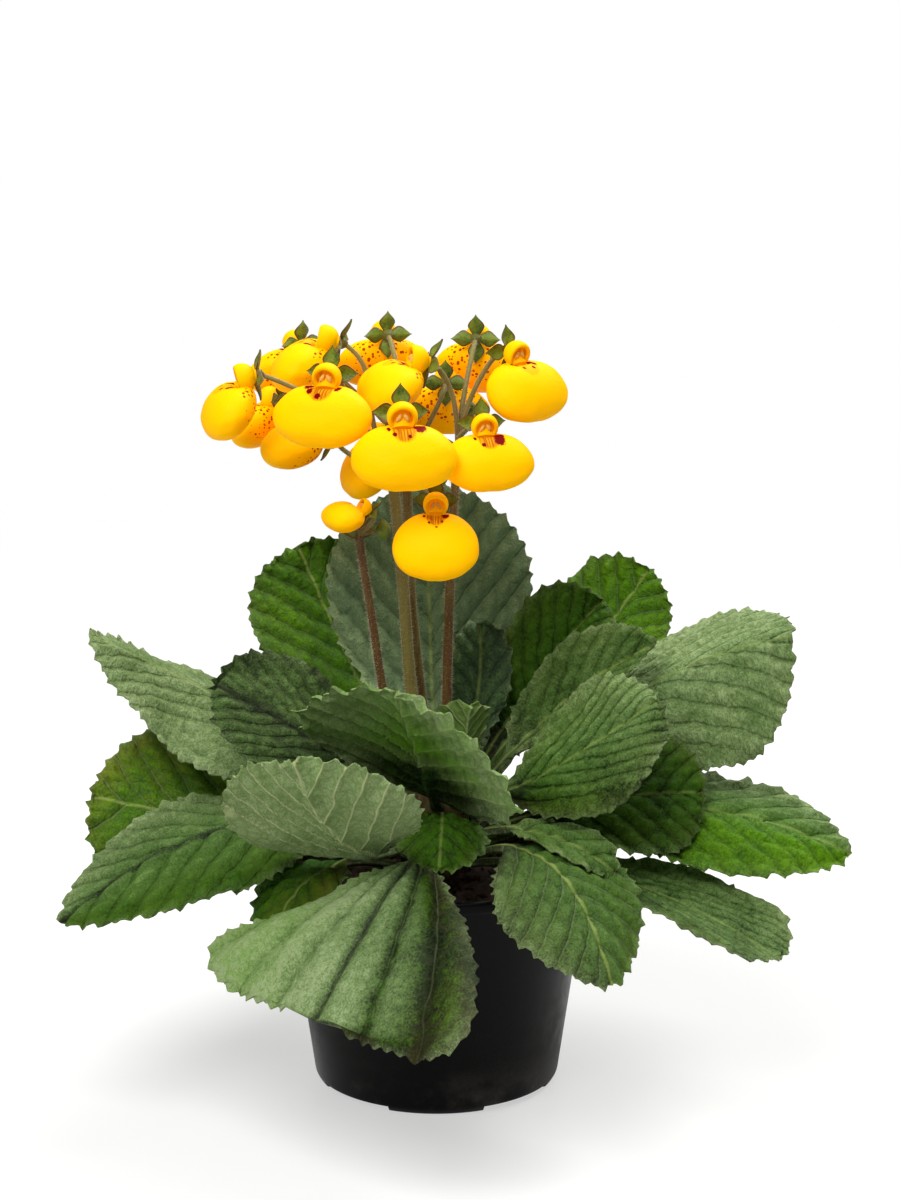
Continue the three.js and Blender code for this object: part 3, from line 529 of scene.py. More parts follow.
def turn(vectors, axis, degrees):
    """The vectors turned about an axis through the origin."""
    axis = unit(np.asarray(axis, float))
    angle = math.radians(degrees)
    along = (vectors @ axis)[..., None] * axis
    turned = vectors * math.cos(angle) + np.cross(axis, vectors) * math.sin(angle)
    return turned + along * (1 - math.cos(angle))


def bezier(controls, t):
    """The points at t of the curve with three or four control points."""
    layers = [np.asarray(control, float) for control in controls]
    t = np.asarray(t, float)[..., None]
    while len(layers) > 1:
        layers = [mix(one, other, t) for one, other in zip(layers, layers[1:])]
    return layers[0]


def through(points, steps):
    """Evenly spaced points on the centripetal curve through the given ones."""
    points = np.asarray(points, float)
    ends = np.vstack([2 * points[0] - points[1], points, 2 * points[-1] - points[-2]])
    t = np.linspace(0, 1, 40)[:, None]
    pieces = []
    for before, start, end, after in zip(ends, ends[1:], ends[2:], ends[3:]):
        gaps = [math.sqrt(np.linalg.norm(b - a)) for a, b in ((before, start), (start, end), (end, after))]
        leave = (start - before) / gaps[0] - (end - before) / (gaps[0] + gaps[1]) + (end - start) / gaps[1]
        arrive = (end - start) / gaps[1] - (after - start) / (gaps[1] + gaps[2]) + (after - end) / gaps[2]
        leave, arrive = leave * gaps[1], arrive * gaps[1]
        pieces.append(
            start + leave * t + (3 * (end - start) - 2 * leave - arrive) * t**2
            + (2 * (start - end) + leave + arrive) * t**3
        )
    line = np.vstack(pieces)
    run = run_along(line)
    wanted = np.linspace(0, run[-1], steps + 1)
    return together(*(np.interp(wanted, run, part) for part in line.T))


# ---- putting meshes together


class Shape:
    """The points, faces and painted marks of a piece while it is put together."""

    def __init__(self):
        self.points = []
        self.marks = []
        self.faces = []
        self.count = 0

    def add(self, points, marks=None):
        """Adds points with their marks, and gives their numbers in the same layout."""
        points = np.asarray(points, float)
        flat = points.reshape(-1, 3)
        painted = {}
        for name, values in (marks or {}).items():
            values = np.asarray(values, float)
            width = values.shape[-1]
            painted[name] = np.broadcast_to(values, points.shape[:-1] + (width,)).reshape(-1, width)
        self.points.append(flat)
        self.marks.append(painted)
        numbers = self.count + np.arange(len(flat)).reshape(points.shape[:-1])
        self.count += len(flat)
        return numbers

    def join(self, rows, finish=0, closed=False):
        """Fills the cells of a grid of point numbers with faces."""
        if closed:
            rows = np.concatenate([rows, rows[:, :1]], axis=1)
        cells = together(rows[:-1, :-1], rows[1:, :-1], rows[1:, 1:], rows[:-1, 1:])
        self.faces.append((cells.reshape(-1, 4), finish))

    def close(self, ring, centre, finish=0, closed=True):
        """Fills a ring of point numbers with a fan round one point number."""
        cells = together(ring, np.roll(ring, -1), centre)
        self.faces.append((cells if closed else cells[:-1], finish))

    def tube(self, line, radii, sides, marks=None, finish=0):
        """A closed round stem along a line of points."""
        line = np.asarray(line, float)
        radii = np.broadcast_to(radii, len(line))
        along = unit(np.gradient(line, axis=0))
        across = np.cross(along[0], (0.31, 0.87, 0.38))
        angles = circle(sides)
        rows = []
        for centre, ahead, radius in zip(line, along, radii):
            across = unit(across - ahead * (across @ ahead))
            other = np.cross(ahead, across)
            ring = np.outer(np.cos(angles), across) + np.outer(np.sin(angles), other)
            rows.append(centre + radius * ring)
        numbers = self.add(np.array(rows), marks)
        self.join(numbers, finish, closed=True)
        caps = self.add(line[[0, -1]], self.first_marks(marks))
        self.close(numbers[0], caps[0], finish)
        self.close(numbers[-1], caps[1], finish)

    @staticmethod
    def first_marks(marks):
        """The marks of a piece's first point, for its caps."""
        found = {}
        for name, values in (marks or {}).items():
            values = np.asarray(values, float)
            found[name] = values.reshape(-1, values.shape[-1])[0]
        return found

    def lathe(self, profile, sides, place=None, marks=None, finish=0):
        """A solid of revolution about +Z from (radius, height) pairs, carried by place(points)."""
        place = place or np.asarray
        profile = np.asarray(profile, float)
        angles = circle(sides)
        ends = [index for index in (0, len(profile) - 1) if profile[index][0] < 1e-6]
        rings = profile[[index for index in range(len(profile)) if index not in ends]]
        points = together(rings[:, :1] * np.cos(angles), rings[:, :1] * np.sin(angles), rings[:, 1:])
        numbers = self.add(place(points), marks)
        self.join(numbers, finish, closed=True)
        if not ends:
            return
        poles = place(np.array([(0, 0, profile[index][1]) for index in ends], float))
        tips = self.add(poles, self.first_marks(marks))
        for index, tip in zip(ends, tips):
            self.close(numbers[0 if index == 0 else -1], tip, finish)

    def pair(self, front, back, marks=None, finish=0):
        """Two matching sheets joined round their edges."""
        sheets = [self.add(points, marks) for points in (front, back)]
        for numbers in sheets:
            self.join(numbers, finish)
        loops = [np.concatenate([n[0, :-1], n[:-1, -1], n[-1, :0:-1], n[:0:-1, 0]]) for n in sheets]
        self.join(np.stack(loops), finish, closed=True)

    def paint(self, mesh):
        """Puts the marks on the finished mesh, where a point without one has zeros."""
        found = {(name, values.shape[1]) for marks in self.marks for name, values in marks.items()}
        for name, width in sorted(found):
            whole = [
                marks[name] if name in marks else np.zeros((len(points), width))
                for points, marks in zip(self.points, self.marks)
            ]
            kind, field = ("FLOAT_COLOR", "color") if width == 4 else ("FLOAT_VECTOR", "vector")
            layer = mesh.attributes.new(name, kind, "POINT")
            layer.data.foreach_set(field, np.vstack(whole).ravel())

    def build(self, name, materials, slot, node):
        """Makes the finished object, which stands for a CAD node and rides on the root."""
        points = np.vstack(self.points) * MM
        mesh = bpy.data.meshes.new(name)
        sizes = np.concatenate([np.full(len(cells), cells.shape[1]) for cells, _ in self.faces])
        corners = np.concatenate([cells.ravel() for cells, _ in self.faces])
        finishes = np.concatenate([np.full(len(cells), finish) for cells, finish in self.faces])
        mesh.vertices.add(len(points))
        mesh.vertices.foreach_set("co", points.ravel())
        mesh.loops.add(len(corners))
        mesh.loops.foreach_set("vertex_index", corners)
        mesh.polygons.add(len(sizes))
        mesh.polygons.foreach_set("loop_start", np.concatenate([[0], np.cumsum(sizes)[:-1]]))
        mesh.polygons.foreach_set("material_index", finishes)
        self.paint(mesh)
        mesh.update(calc_edges=True)
        if mesh.validate():
            print("mended", name)
        face_out(mesh)
        crease(mesh, PIECE_CREASE)
        for material in materials:
            mesh.materials.append(material)
        return place_piece(add_object(name, mesh), node)

    def build_bare(self, name):
        """Makes an object with its faces only, for cutting or for the stage."""
        mesh = bpy.data.meshes.new(name)
        faces = [list(map(int, face)) for cells, _ in self.faces for face in cells]
        mesh.from_pydata((np.vstack(self.points) * MM).tolist(), [], faces)
        face_out(mesh, merged=GAP * MM / 100)
        return add_object(name, mesh)


def face_out(mesh, merged=0.0, filled=False):
    """Turns a mesh's faces outward, after merging and filling where asked, and counts its open edges."""
    working = bmesh.new()
    working.from_mesh(mesh)
    if merged:
        bmesh.ops.remove_doubles(working, verts=working.verts, dist=merged)
    if filled:
        bmesh.ops.holes_fill(working, edges=[edge for edge in working.edges if edge.is_boundary])
    bmesh.ops.recalc_face_normals(working, faces=working.faces)
    left_open = sum(not edge.is_manifold for edge in working.edges)
    working.to_mesh(mesh)
    working.free()
    return left_open


def crease(mesh, degrees):
    """Shades a mesh smooth but for its edges that turn more sharply than this."""
    mesh.shade_smooth()
    mesh.set_sharp_from_angle(angle=math.radians(degrees))


def add_object(name, data):
    """A new object in the scene."""
    made = bpy.data.objects.new(name, data)
    bpy.context.scene.collection.objects.link(made)
    return made


def place_piece(made, node):
    """Ties a piece to the root body and hides the plain solid of the node that it stands for."""
    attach(made, "root")
    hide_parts(node)
    return made


# ---- shader helpers


def put(tree, socket, value):
    """Links a socket to another one, or sets its own value."""
    if isinstance(value, bpy.types.NodeSocket):
        tree.links.new(value, socket)
    elif socket.type == "RGBA" and len(value) == 3:
        socket.default_value = (*value, 1)
    else:
        socket.default_value = value


def make(tree, kind, inputs=None, **settings):
    """A node with its settings made and its inputs put in by name or number."""
    node = tree.nodes.new(kind)
    for name, value in settings.items():
        setattr(node, name, value)
    for name, value in (inputs or {}).items():
        put(tree, node.inputs[name], value)
    return node


def sums(tree, operation, *values):
    """The result of a Math node."""
    return make(tree, "ShaderNodeMath", dict(enumerate(values)), operation=operation).outputs[0]


def fit(tree, value, low, high, new_low=0.0, new_high=1.0):
    """The value carried smoothly from one range to another."""
    numbers = {"Value": value, "From Min": low, "From Max": high, "To Min": new_low, "To Max": new_high}
    return make(tree, "ShaderNodeMapRange", numbers, interpolation_type="SMOOTHSTEP").outputs["Result"]


def times(tree, first, *others):
    """The product of two or more values."""
    for other in others:
        first = sums(tree, "MULTIPLY", first, other)
    return first


def swing(tree, value, amount, base):
    """The base, moved by a value's distance from 0.5 times the amount."""
    return sums(tree, "MULTIPLY_ADD", sums(tree, "SUBTRACT", value, 0.5), amount, base)


def blend(tree, amount, first, second):
    """The mix of two colours."""
    node = make(tree, "ShaderNodeMix", {0: amount, 6: first, 7: second}, data_type="RGBA")
    return node.outputs[2]


def parts(tree, vector):
    """The three parts of a vector or colour socket."""
    return make(tree, "ShaderNodeSeparateXYZ", {0: vector}).outputs


def mark(tree, name):
    """The Attribute node of a mark that was painted on the mesh."""
    return make(tree, "ShaderNodeAttribute", attribute_name=name, attribute_type="GEOMETRY")


def object_place(tree):
    """A point's place on its object, in metres."""
    return make(tree, "ShaderNodeTexCoord").outputs["Object"]


def stretched(tree, vector, scale):
    """The vector scaled by three shares."""
    return make(tree, "ShaderNodeMapping", {"Vector": vector, "Scale": scale}).outputs[0]


def cloud(tree, vector, scale, detail=2.0, roughness=0.5):
    """A noise value about 0.5."""
    values = {"Vector": vector, "Scale": scale, "Detail": detail, "Roughness": roughness}
    return make(tree, "ShaderNodeTexNoise", values).outputs[0]


def cells(tree, vector, scale, feature="F1"):
    """The outputs of a Voronoi node."""
    return make(tree, "ShaderNodeTexVoronoi", {"Vector": vector, "Scale": scale}, feature=feature).outputs


def start_group(name, inputs, outputs):
    """A new shader group with its sockets: its tree, its input values and its output sockets."""
    group = bpy.data.node_groups.new(name, "ShaderNodeTree")
    kinds = {"value": "NodeSocketFloat", "vector": "NodeSocketVector", "colour": "NodeSocketColor"}
    for socket, kind in inputs.items():
        group.interface.new_socket(socket, in_out="INPUT", socket_type=kinds[kind])
    for socket, kind in outputs.items():
        group.interface.new_socket(socket, in_out="OUTPUT", socket_type=kinds[kind])
    given = group.nodes.new("NodeGroupInput").outputs
    result = group.nodes.new("NodeGroupOutput").inputs
    return group, given, result


def use_group(tree, group, **inputs):
    """The outputs of a shader group placed in a tree."""
    node = make(tree, "ShaderNodeGroup", node_tree=group)
    for name, value in inputs.items():
        put(tree, node.inputs[name], value)
    return node.outputs


def start_material(name, **constants):
    """A material with its Principled shader, whose constants are set on its own sockets."""
    material = bpy.data.materials.new(name)
    material.use_nodes = True
    tree = material.node_tree
    shader = tree.nodes["Principled BSDF"]
    for socket, value in constants.items():
        put(tree, shader.inputs[socket.replace("_", " ")], value)
    return material, tree, shader


def relief(tree, shader, height, depth):
    """Feeds a height into the shader's normal through a Bump node; depth is in millimetres."""
    node = make(tree, "ShaderNodeBump", {"Height": height, "Strength": 1.0, "Distance": depth * MM})
    put(tree, shader.inputs["Normal"], node.outputs[0])


# ---- shader groups


def surface(tree, shader, base, uneven, roughness, span=(0.2, 0.8)):
    """Feeds the base colour, and a roughness that follows an uneven value."""
    put(tree, shader.inputs["Base Color"], base)
    put(tree, shader.inputs["Roughness"], fit(tree, uneven, *span, *roughness))


def mottle_group():
    """Uneven growth or dust: broad patches with finer ones in them, about 0.5."""
    group = bpy.data.node_groups.get("mottle")
    if group:
        return group
    group, given, result = start_group("mottle", {"Place": "vector", "Size": "value"}, {"Amount": "value"})
    scale = sums(group, "DIVIDE", 1.0, given["Size"])
    broad = cloud(group, given["Place"], scale)
    fine = cloud(group, given["Place"], times(group, scale, 5.3), 3, 0.6)
    put(group, result["Amount"], swing(group, fine, 0.6, broad))
    return group


def mottled(tree, place, size):
    """An uneven value about 0.5, in patches of a size."""
    return use_group(tree, mottle_group(), Place=place, Size=size)["Amount"]


def vein_group():
    """The lines of a leaf: main veins from the vein mark, and the net of fine veins between them."""
    group = bpy.data.node_groups.get("leaf_veins")
    if group:
        return group
    group, given, result = start_group(
        "leaf_veins",
        {"Place": "vector", "Lines": "vector"},
        {"Vein": "value", "Rib": "value", "Net": "value", "Cell": "value", "Grain": "value"},
    )
    order, spacing, rib = parts(group, given["Lines"])
    nearest = sums(group, "SUBTRACT", sums(group, "FRACT", sums(group, "ADD", order, 0.5)), 0.5)
    away = times(group, sums(group, "ABSOLUTE", nearest), spacing)
    put(group, result["Vein"], times(group, fit(group, away, 0.0, 0.6, 1, 0), fit(group, spacing, 1.6, 3.5)))
    put(group, result["Rib"], fit(group, rib, 0.1, 0.85, 1, 0))
    pulled = make(group, "ShaderNodeTexNoise", {"Vector": given["Place"], "Scale": 0.35, "Detail": 2.0})
    bend = {0: pulled.outputs["Color"], 1: (1.6, 1.6, 0), 2: given["Place"]}
    bent = make(group, "ShaderNodeVectorMath", bend, operation="MULTIPLY_ADD").outputs[0]
    coarse, fine = (cells(group, bent, scale, "DISTANCE_TO_EDGE")["Distance"] for scale in (0.3, 0.72))
    lines = fit(group, coarse, 0.0, 0.13, 1, 0), fit(group, fine, 0.0, 0.16, 0.55, 0)
    put(group, result["Net"], sums(group, "MAXIMUM", *lines))
    put(group, result["Cell"], fit(group, coarse, 0.0, 0.42))
    put(group, result["Grain"], cloud(group, given["Place"], 1.7, 3, 0.7))
    return group


# ---- leaves


def leaf_of(name):
    """A leaf's values by name."""
    seat, middle, tip, width, widest, petiole, roll, fold, cup = LEAVES[name]
    seat_point = around(CROWN.radius + GAP, *seat)
    middle, tip = np.array(middle, float), np.array(tip, float)
    handle = 2 * middle - (seat_point + tip) / 2
    midrib = bezier((seat_point, handle, tip), np.linspace(petiole, 1, 60))
    return Values(
        name=name, seat=seat, seat_point=seat_point, handle=handle, tip=tip, width=width, widest=widest,
        petiole=petiole, roll=roll, fold=fold, cup=cup, seed=sorted(LEAVES).index(name) + 1,
        blade_length=float(np.linalg.norm(np.diff(midrib, axis=0), axis=1).sum()),
    )


def half_width(leaf, along):
    """Half the blade's width at a share of the blade's length."""
    rise = BLADE.rise * leaf.widest
    fall = BLADE.fall * (1 - leaf.widest)
    below = (np.clip(along, 0, 1) / leaf.widest) ** rise
    above = ((1 - np.clip(along, 0, 1)) / (1 - leaf.widest)) ** fall
    return leaf.width / 2 * below * above


def leaf_frames(leaf, t):
    """The midrib's points at t, the direction of the blade's left half and that of its upper face."""
    origin = bezier((leaf.seat_point, leaf.handle, leaf.tip), t)
    ahead = unit(mix(leaf.handle - leaf.seat_point, leaf.tip - leaf.handle, t[..., None]))
    outward = unit((leaf.tip - leaf.seat_point) * (1, 1, 0))
    level = np.array((-outward[1], outward[0], 0))
    left = unit(level - ahead * (ahead @ level)[..., None])
    angle = np.radians(mix(*leaf.roll, t))[..., None]
    left = left * np.cos(angle) + np.cross(ahead, left) * np.sin(angle)
    normal = np.cross(ahead, left)
    seated = 1 - ease(0, leaf.petiole * PETIOLE.joint, t)[..., None]
    left = unit(mix(left, around(1, leaf.seat[0] + 90, 0), seated))
    normal = unit(mix(normal, UP, seated))
    return origin, left, normal


def tooth_line(run, settings, size, seed):
    """How far an edge stands out at each length along it: forward teeth, each with a smaller one."""
    pitch, depth = size * settings.pitch / MM, size * settings.tooth / MM
    main = (run + TEETH.sway * lumps(along_x(run), TEETH.sway_size, seed)) / pitch
    start, smaller = TEETH.second
    height = 0
    for rank, (phase, amount) in enumerate(((main, 1.0), (main * 2 + start, smaller))):
        number = np.floor(phase)
        inside = phase - number
        saw = np.where(inside < TEETH.rise, inside / TEETH.rise, (1 - inside) / TEETH.fall)
        uneven = TEETH.least + TEETH.uneven * lattice(along_x(number), seed + rank)
        height = height + amount * saw * uneven
    return depth * height * ease(*TEETH.grow, run)


def midrib_shift(leaf, along):
    """How far to the left of the blade's middle its midrib runs, in millimetres."""
    return MIDRIB_STARTS.get(leaf.name, 0) * (1 - np.clip(along, 0, 1)) ** VEINING.midrib_power


def vein_order(leaf, along, off):
    """A number that is whole on each main vein, at a share along the blade and millimetres off its middle."""
    if leaf.name in FANS:
        behind, aside, pitch = FANS[leaf.name]
        angle = np.degrees(np.arctan2(off - aside, along * leaf.blade_length + behind))
        return (angle - math.degrees(math.atan2(-aside, leaf.blade_length))) / pitch
    count, rake = VEINS.get(leaf.name, PLAIN_VEINS)
    off = off - midrib_shift(leaf, along)
    aside = np.abs(off) / (leaf.width / 2)
    back = rake * aside**VEINING.bunch / (np.maximum(along, 0) + VEINING.blunt)
    start = np.maximum(along, 0) * (1 - np.minimum(VEINING.furthest, back))
    return count * start**VEINING.bunch + VEINING.stagger * np.tanh(off / VEINING.stagger_width)


def pillow(order, sharpness):
    """0 where the order is whole and a rounded rise to 1 halfway between."""
    return 1 - (1 - 2 * np.abs(order - np.round(order))) ** sharpness


def leaf_relief(leaf, along, off, flat, settings):
    """The height of the blade's relief, its veins' order, spacing and midrib distance, and its bulging."""
    order = vein_order(leaf, along, off)
    step = VEINING.probe
    forward = vein_order(leaf, along + step / leaf.blade_length, off) - order
    sideways = vein_order(leaf, along, off + step) - order
    spacing = np.clip(step / np.maximum(np.hypot(forward, sideways), 1e-4), *VEINING.spacing)
    (far, long), (near, short) = VEINING.wander
    wander = far * lumps(flat, long, leaf.seed) + near * lumps(flat, short, leaf.seed)
    order = order + wander / np.maximum(spacing, VEINING.wander_floor)

    from_rib = np.abs(off - midrib_shift(leaf, along))
    across = from_rib / QUILT.bulge + QUILT.uneven * lattice(along_x(np.floor(order)), leaf.seed)
    sway, sway_size = QUILT.sway
    across = across + sway * lumps(flat, sway_size, leaf.seed + 20)
    least, more = QUILT.deep
    quilted = least + more * pillow(across, QUILT.cross)
    if leaf.name in FANS:
        least, more = QUILT.shallow
        quilted = least + more * quilted
    bulge = pillow(order, QUILT.round) * quilted - QUILT.sunk
    (high, wide), (low, narrow) = QUILT.puckers
    pucker = high * lumps(flat, wide, leaf.seed + 40) + low * lumps(flat, narrow, leaf.seed + 80)

    amount = settings.quilt / MM * ease(*QUILT.shown, spacing) * np.minimum(1, spacing / QUILT.full)
    groove = QUILT.groove * bell(from_rib, QUILT.groove_width)
    height = amount * bulge + pucker * ease(*QUILT.pucker_from, from_rib) - groove
    shown_from = from_rib + (1 if leaf.name in PLAIN_RIBS else 0)
    return height, together(order, spacing, shown_from), bulge + 0.4 * pucker


def row_shares(leaf, step):
    """The shares of the blade's length at which its rows lie, closest together where its width changes."""
    fine = np.linspace(0, 1, LEAF_MESH.samples)
    ahead = LEAF_MESH.lengthwise * leaf.blade_length / len(fine)
    sweep = np.hypot(np.gradient(half_width(leaf, fine)), ahead)
    sweep = np.cumsum(sweep) - sweep[0]
    rows = int(sweep[-1] / step * LEAF_MESH.rows)
    return np.interp(np.linspace(0, sweep[-1], rows + 1)[:-1], sweep, fine)


def flat_blade(leaf, along, side, settings):
    """The toothed blade laid flat: how far along it and off its middle a point lies, and the run of edge."""
    base = np.maximum(half_width(leaf, along), PETIOLE.half_width * (1 - along))
    edge = together(along * leaf.blade_length, base)
    tangent = np.gradient(edge, axis=0)
    tangent[0] = edge[1] - edge[0]
    out = unit(together(-tangent[:, 1], tangent[:, 0]))
    run = run_along(edge)
    size = TOOTH_SIZES.get(leaf.name, 1)
    right, left = (tooth_line(run, settings, size, leaf.seed * 2 + odd)[:, None] for odd in (0, 1))
    tooth = np.where(side > 0, left, right)
    reach = ease(TEETH.reach, 1, np.abs(side)) ** TEETH.reach_power
    extra, fullest, spread = FULLER.get(leaf.name, (0, 0, 1))
    fullness = 1 + extra * bell(along - fullest, spread)[:, None] * (side < 0)
    forward = edge[:, :1] + reach * tooth * out[:, :1]
    off = side * base[:, None] * fullness + np.sign(side) * reach * tooth * out[:, 1:]
    return forward / leaf.blade_length, off, run


def leaf_grid(leaf, settings):
    """A leaf's rows and columns of points: shares of its midrib (t) and blade, and millimetres off it."""
    step = settings.step / MM
    columns = 2 * max(LEAF_MESH.least_columns, int(leaf.width / step / 2)) + 1
    side = np.linspace(-1, 1, columns)
    side = np.sign(side) * np.abs(side) ** LEAF_MESH.edge_power
    along = row_shares(leaf, step)
    share_along, off, run = flat_blade(leaf, along, side, settings)
    stalk = np.linspace(0, leaf.petiole, LEAF_MESH.stalk_rows + 1)[:-1, None] + np.zeros(columns)
    before = np.zeros(LEAF_MESH.stalk_rows)
    return Values(
        side=side,
        t=np.vstack([stalk, leaf.petiole + (1 - leaf.petiole) * share_along]),
        along=np.vstack([stalk - leaf.petiole, share_along]),
        off=np.vstack([0 * stalk + side * PETIOLE.half_width, off]),
        row=np.concatenate([before, along]),
        width=np.concatenate([before, half_width(leaf, along)]),
        run=np.concatenate([before, run]),
    )


def leaf_sheets(leaf, grid, settings):
    """The points of a leaf's upper and lower sheets, and the marks painted on both."""
    flat = together(grid.along * leaf.blade_length, grid.off, leaf.seed * 53.0)
    origin, left, normal = leaf_frames(leaf, grid.t)
    height, lines, bulge = leaf_relief(leaf, grid.along, grid.off, flat, settings)
    outward = np.abs(grid.side)
    lift = (leaf.fold * outward + leaf.cup * outward**2) * grid.width[:, None]
    swell = lumps(together(grid.run[:, None], grid.side * WAVE.across, 0), WAVE.size, leaf.seed + 7)
    wave = settings.wave / MM * swell * outward**WAVE.outer * ease(*WAVE.grow, grid.row)[:, None]
    thinned = np.minimum(1, grid.row / BLADE.thinned)[:, None]
    body = lift + (height + wave) * thinned
    round_edge = np.sqrt(np.maximum(PETIOLE.edge**2, 1 - outward**2))
    thickness = mix(PETIOLE.thickness * round_edge, mix(BLADE.thickness, BLADE.edge, outward**2), thinned)
    rib = BLADE.rib * (1 - grid.row)[:, None] * thinned * bell(lines[..., 2], BLADE.rib_width)
    centre = origin + left * grid.off[..., None] + normal * body[..., None]
    upper = centre + normal * (thickness / 2)[..., None]
    lower = centre - normal * (thickness / 2 + rib)[..., None]
    return upper, lower, {"place": flat, "lines": lines, "tone": leaf_tones(leaf, grid, lines, bulge)}


def leaf_tones(leaf, grid, lines, bulge):
    """A leaf's painted tones: painted light on bulges, painted shade in grooves and at the foot of the blade.
    """
    frost_and_sheen, light, vein, warm = (blade_tone(leaf.name, key, grid.along, grid.side) for key in PLAIN_PAINT)
    fan = leaf.name in FANS
    # Painted light and shade on the quilting: bulges get grey sheen and light, grooves and the blade's foot
    # painted shade.
    frost_and_sheen = frost_and_sheen + (0.7 if fan else 0.3) * (bulge - 0.25) * np.minimum(1, frost_and_sheen * 3)
    light = light + 0.16 * (2 if fan else 1) * (bulge - 0.2) - 0.3 * ease(0.3, 0, grid.along)
    # Painted shade along the midrib's groove.
    if leaf.name in PLAIN_RIBS:
        groove = bell(lines[..., 2] - 1, 1.2)
        light = light - 0.4 * groove
        frost_and_sheen = frost_and_sheen * (1 - 0.6 * groove)
    return together(frost_and_sheen, light, vein, warm)


def leaf_shape(name, settings):
    """The fine mesh of one leaf: an upper and a lower sheet that meet in a thin toothed edge."""
    leaf = leaf_of(name)
    grid = leaf_grid(leaf, settings)
    upper, lower, marks = leaf_sheets(leaf, grid, settings)
    tip_marks = {key: value[-1, len(grid.side) // 2] for key, value in marks.items()}
    tip_place, _, tip_normal = leaf_frames(leaf, np.array([1 + LEAF_MESH.tip]))
    shape = Shape()
    sheets = []
    for finish, points, sign in ((0, upper, 1), (1, lower, -1)):
        numbers = shape.add(points, marks)
        shape.join(numbers, finish)
        tip = shape.add(tip_place + tip_normal * sign * BLADE.edge / 2, tip_marks)[0]
        shape.close(numbers[-1], tip, finish, closed=False)
        sheets.append((numbers, tip))
    for column in (0, -1):
        shape.join(np.stack([np.append(numbers[:, column], tip) for numbers, tip in sheets]))
    shape.join(np.stack([numbers[0] for numbers, tip in sheets]))
    return shape


def blade_tone(name, key, along, side):
    """One painted value over a blade."""
    painted = PAINT.get(name, {}).get(key, PLAIN_PAINT[key])
    start, ahead, left, edges = painted if isinstance(painted, tuple) else (painted, 0, 0, 0)
    value = start + ahead * along + left * side + edges * np.abs(side) ** 1.5
    if key == "frost_and_sheen":
        value = np.maximum(value, 0) + 0.35 * np.abs(side) ** 16
    return np.clip(value * np.ones_like(along * side), -1 if key == "warm" else 0, 1)


def leaf_inputs(tree):
    """What both faces of a leaf are coloured by: its lines, its patches and its painted tone."""
    place, tone = mark(tree, "place").outputs["Vector"], mark(tree, "tone")
    lines = use_group(tree, vein_group(), Place=place, Lines=mark(tree, "lines").outputs["Vector"])
    return lines, mottled(tree, place, 16.0), tone


def leaf_green(tree, settings, lines, patches, tone, plain):
    """A leaf's colour before veins: from painted shade to plain to sunlit green, tints, grey hairs and
    painted sheen.
    """
    frost_and_sheen, light, _ = parts(tree, tone.outputs["Color"])
    warm = tone.outputs["Alpha"]
    lit = swing(tree, patches, 0.5, light)
    lit = swing(tree, lines["Grain"], 1.0, lit)
    lit = swing(tree, lines["Cell"], 0.12, lit)
    green = blend(tree, fit(tree, lit, 0.0, 0.5), settings.shade[:], plain)
    green = blend(tree, fit(tree, lit, 0.5, 1.0), green, settings.sunlit[:])
    green = blend(tree, times(tree, warm, fit(tree, patches, 0.2, 0.7)), green, settings.warm[:])
    green = blend(tree, times(tree, warm, -1.0), green, settings.cool[:])
    # The grey of hairs, together with the painted sheen that the frost mark carries.
    hairs = times(tree, fit(tree, patches, 0.15, 0.8, 0.55, 1.2), frost_and_sheen)
    hairs = times(tree, hairs, fit(tree, lines["Grain"], 0.3, 0.7, 0.4, 1.3))
    hairs = times(tree, hairs, fit(tree, lines["Cell"], 0, 1, 0.75, 1))
    return blend(tree, hairs, green, settings.frost_and_sheen[:])


def leaf_upper_material(settings):
    """The upper face: mottled green with grey hairs and painted sheen on its bulges, and a net of veins."""
    material, tree, shader = start_material(
        "leaf_upper", Sheen_Weight=0.02, Sheen_Roughness=0.4, Sheen_Tint=settings.frost_and_sheen[:],
        Specular_IOR_Level=0.1,
    )
    lines, patches, tone = leaf_inputs(tree)
    green = leaf_green(tree, settings, lines, patches, tone, settings.green[:])
    # Dark vein lines are painted shade in the vein grooves; pale ones are the veins' own colour.
    vein_tone = parts(tree, tone.outputs["Color"])[2]
    line_colour = blend(tree, vein_tone, settings.shade[:], settings.frost_and_sheen[:])
    contrast = sums(tree, "ABSOLUTE", sums(tree, "SUBTRACT", vein_tone, 0.45))
    strength = sums(tree, "MULTIPLY_ADD", contrast, 0.65, 0.06)
    green = blend(tree, times(tree, lines["Net"], strength, 0.4), green, line_colour)
    green = blend(tree, times(tree, lines["Vein"], strength), green, line_colour)
    shown = times(tree, lines["Rib"], fit(tree, vein_tone, 0.0, 0.9, 0.25, 0.55))
    green = blend(tree, shown, green, settings.rib[:])
    surface(tree, shader, green, lines["Grain"], (0.48, 0.68))
    height = sums(tree, "MULTIPLY_ADD", lines["Vein"], -0.6, times(tree, lines["Cell"], 0.6))
    relief(tree, shader, sums(tree, "MULTIPLY_ADD", lines["Grain"], 0.9, height), 0.6)
    return material


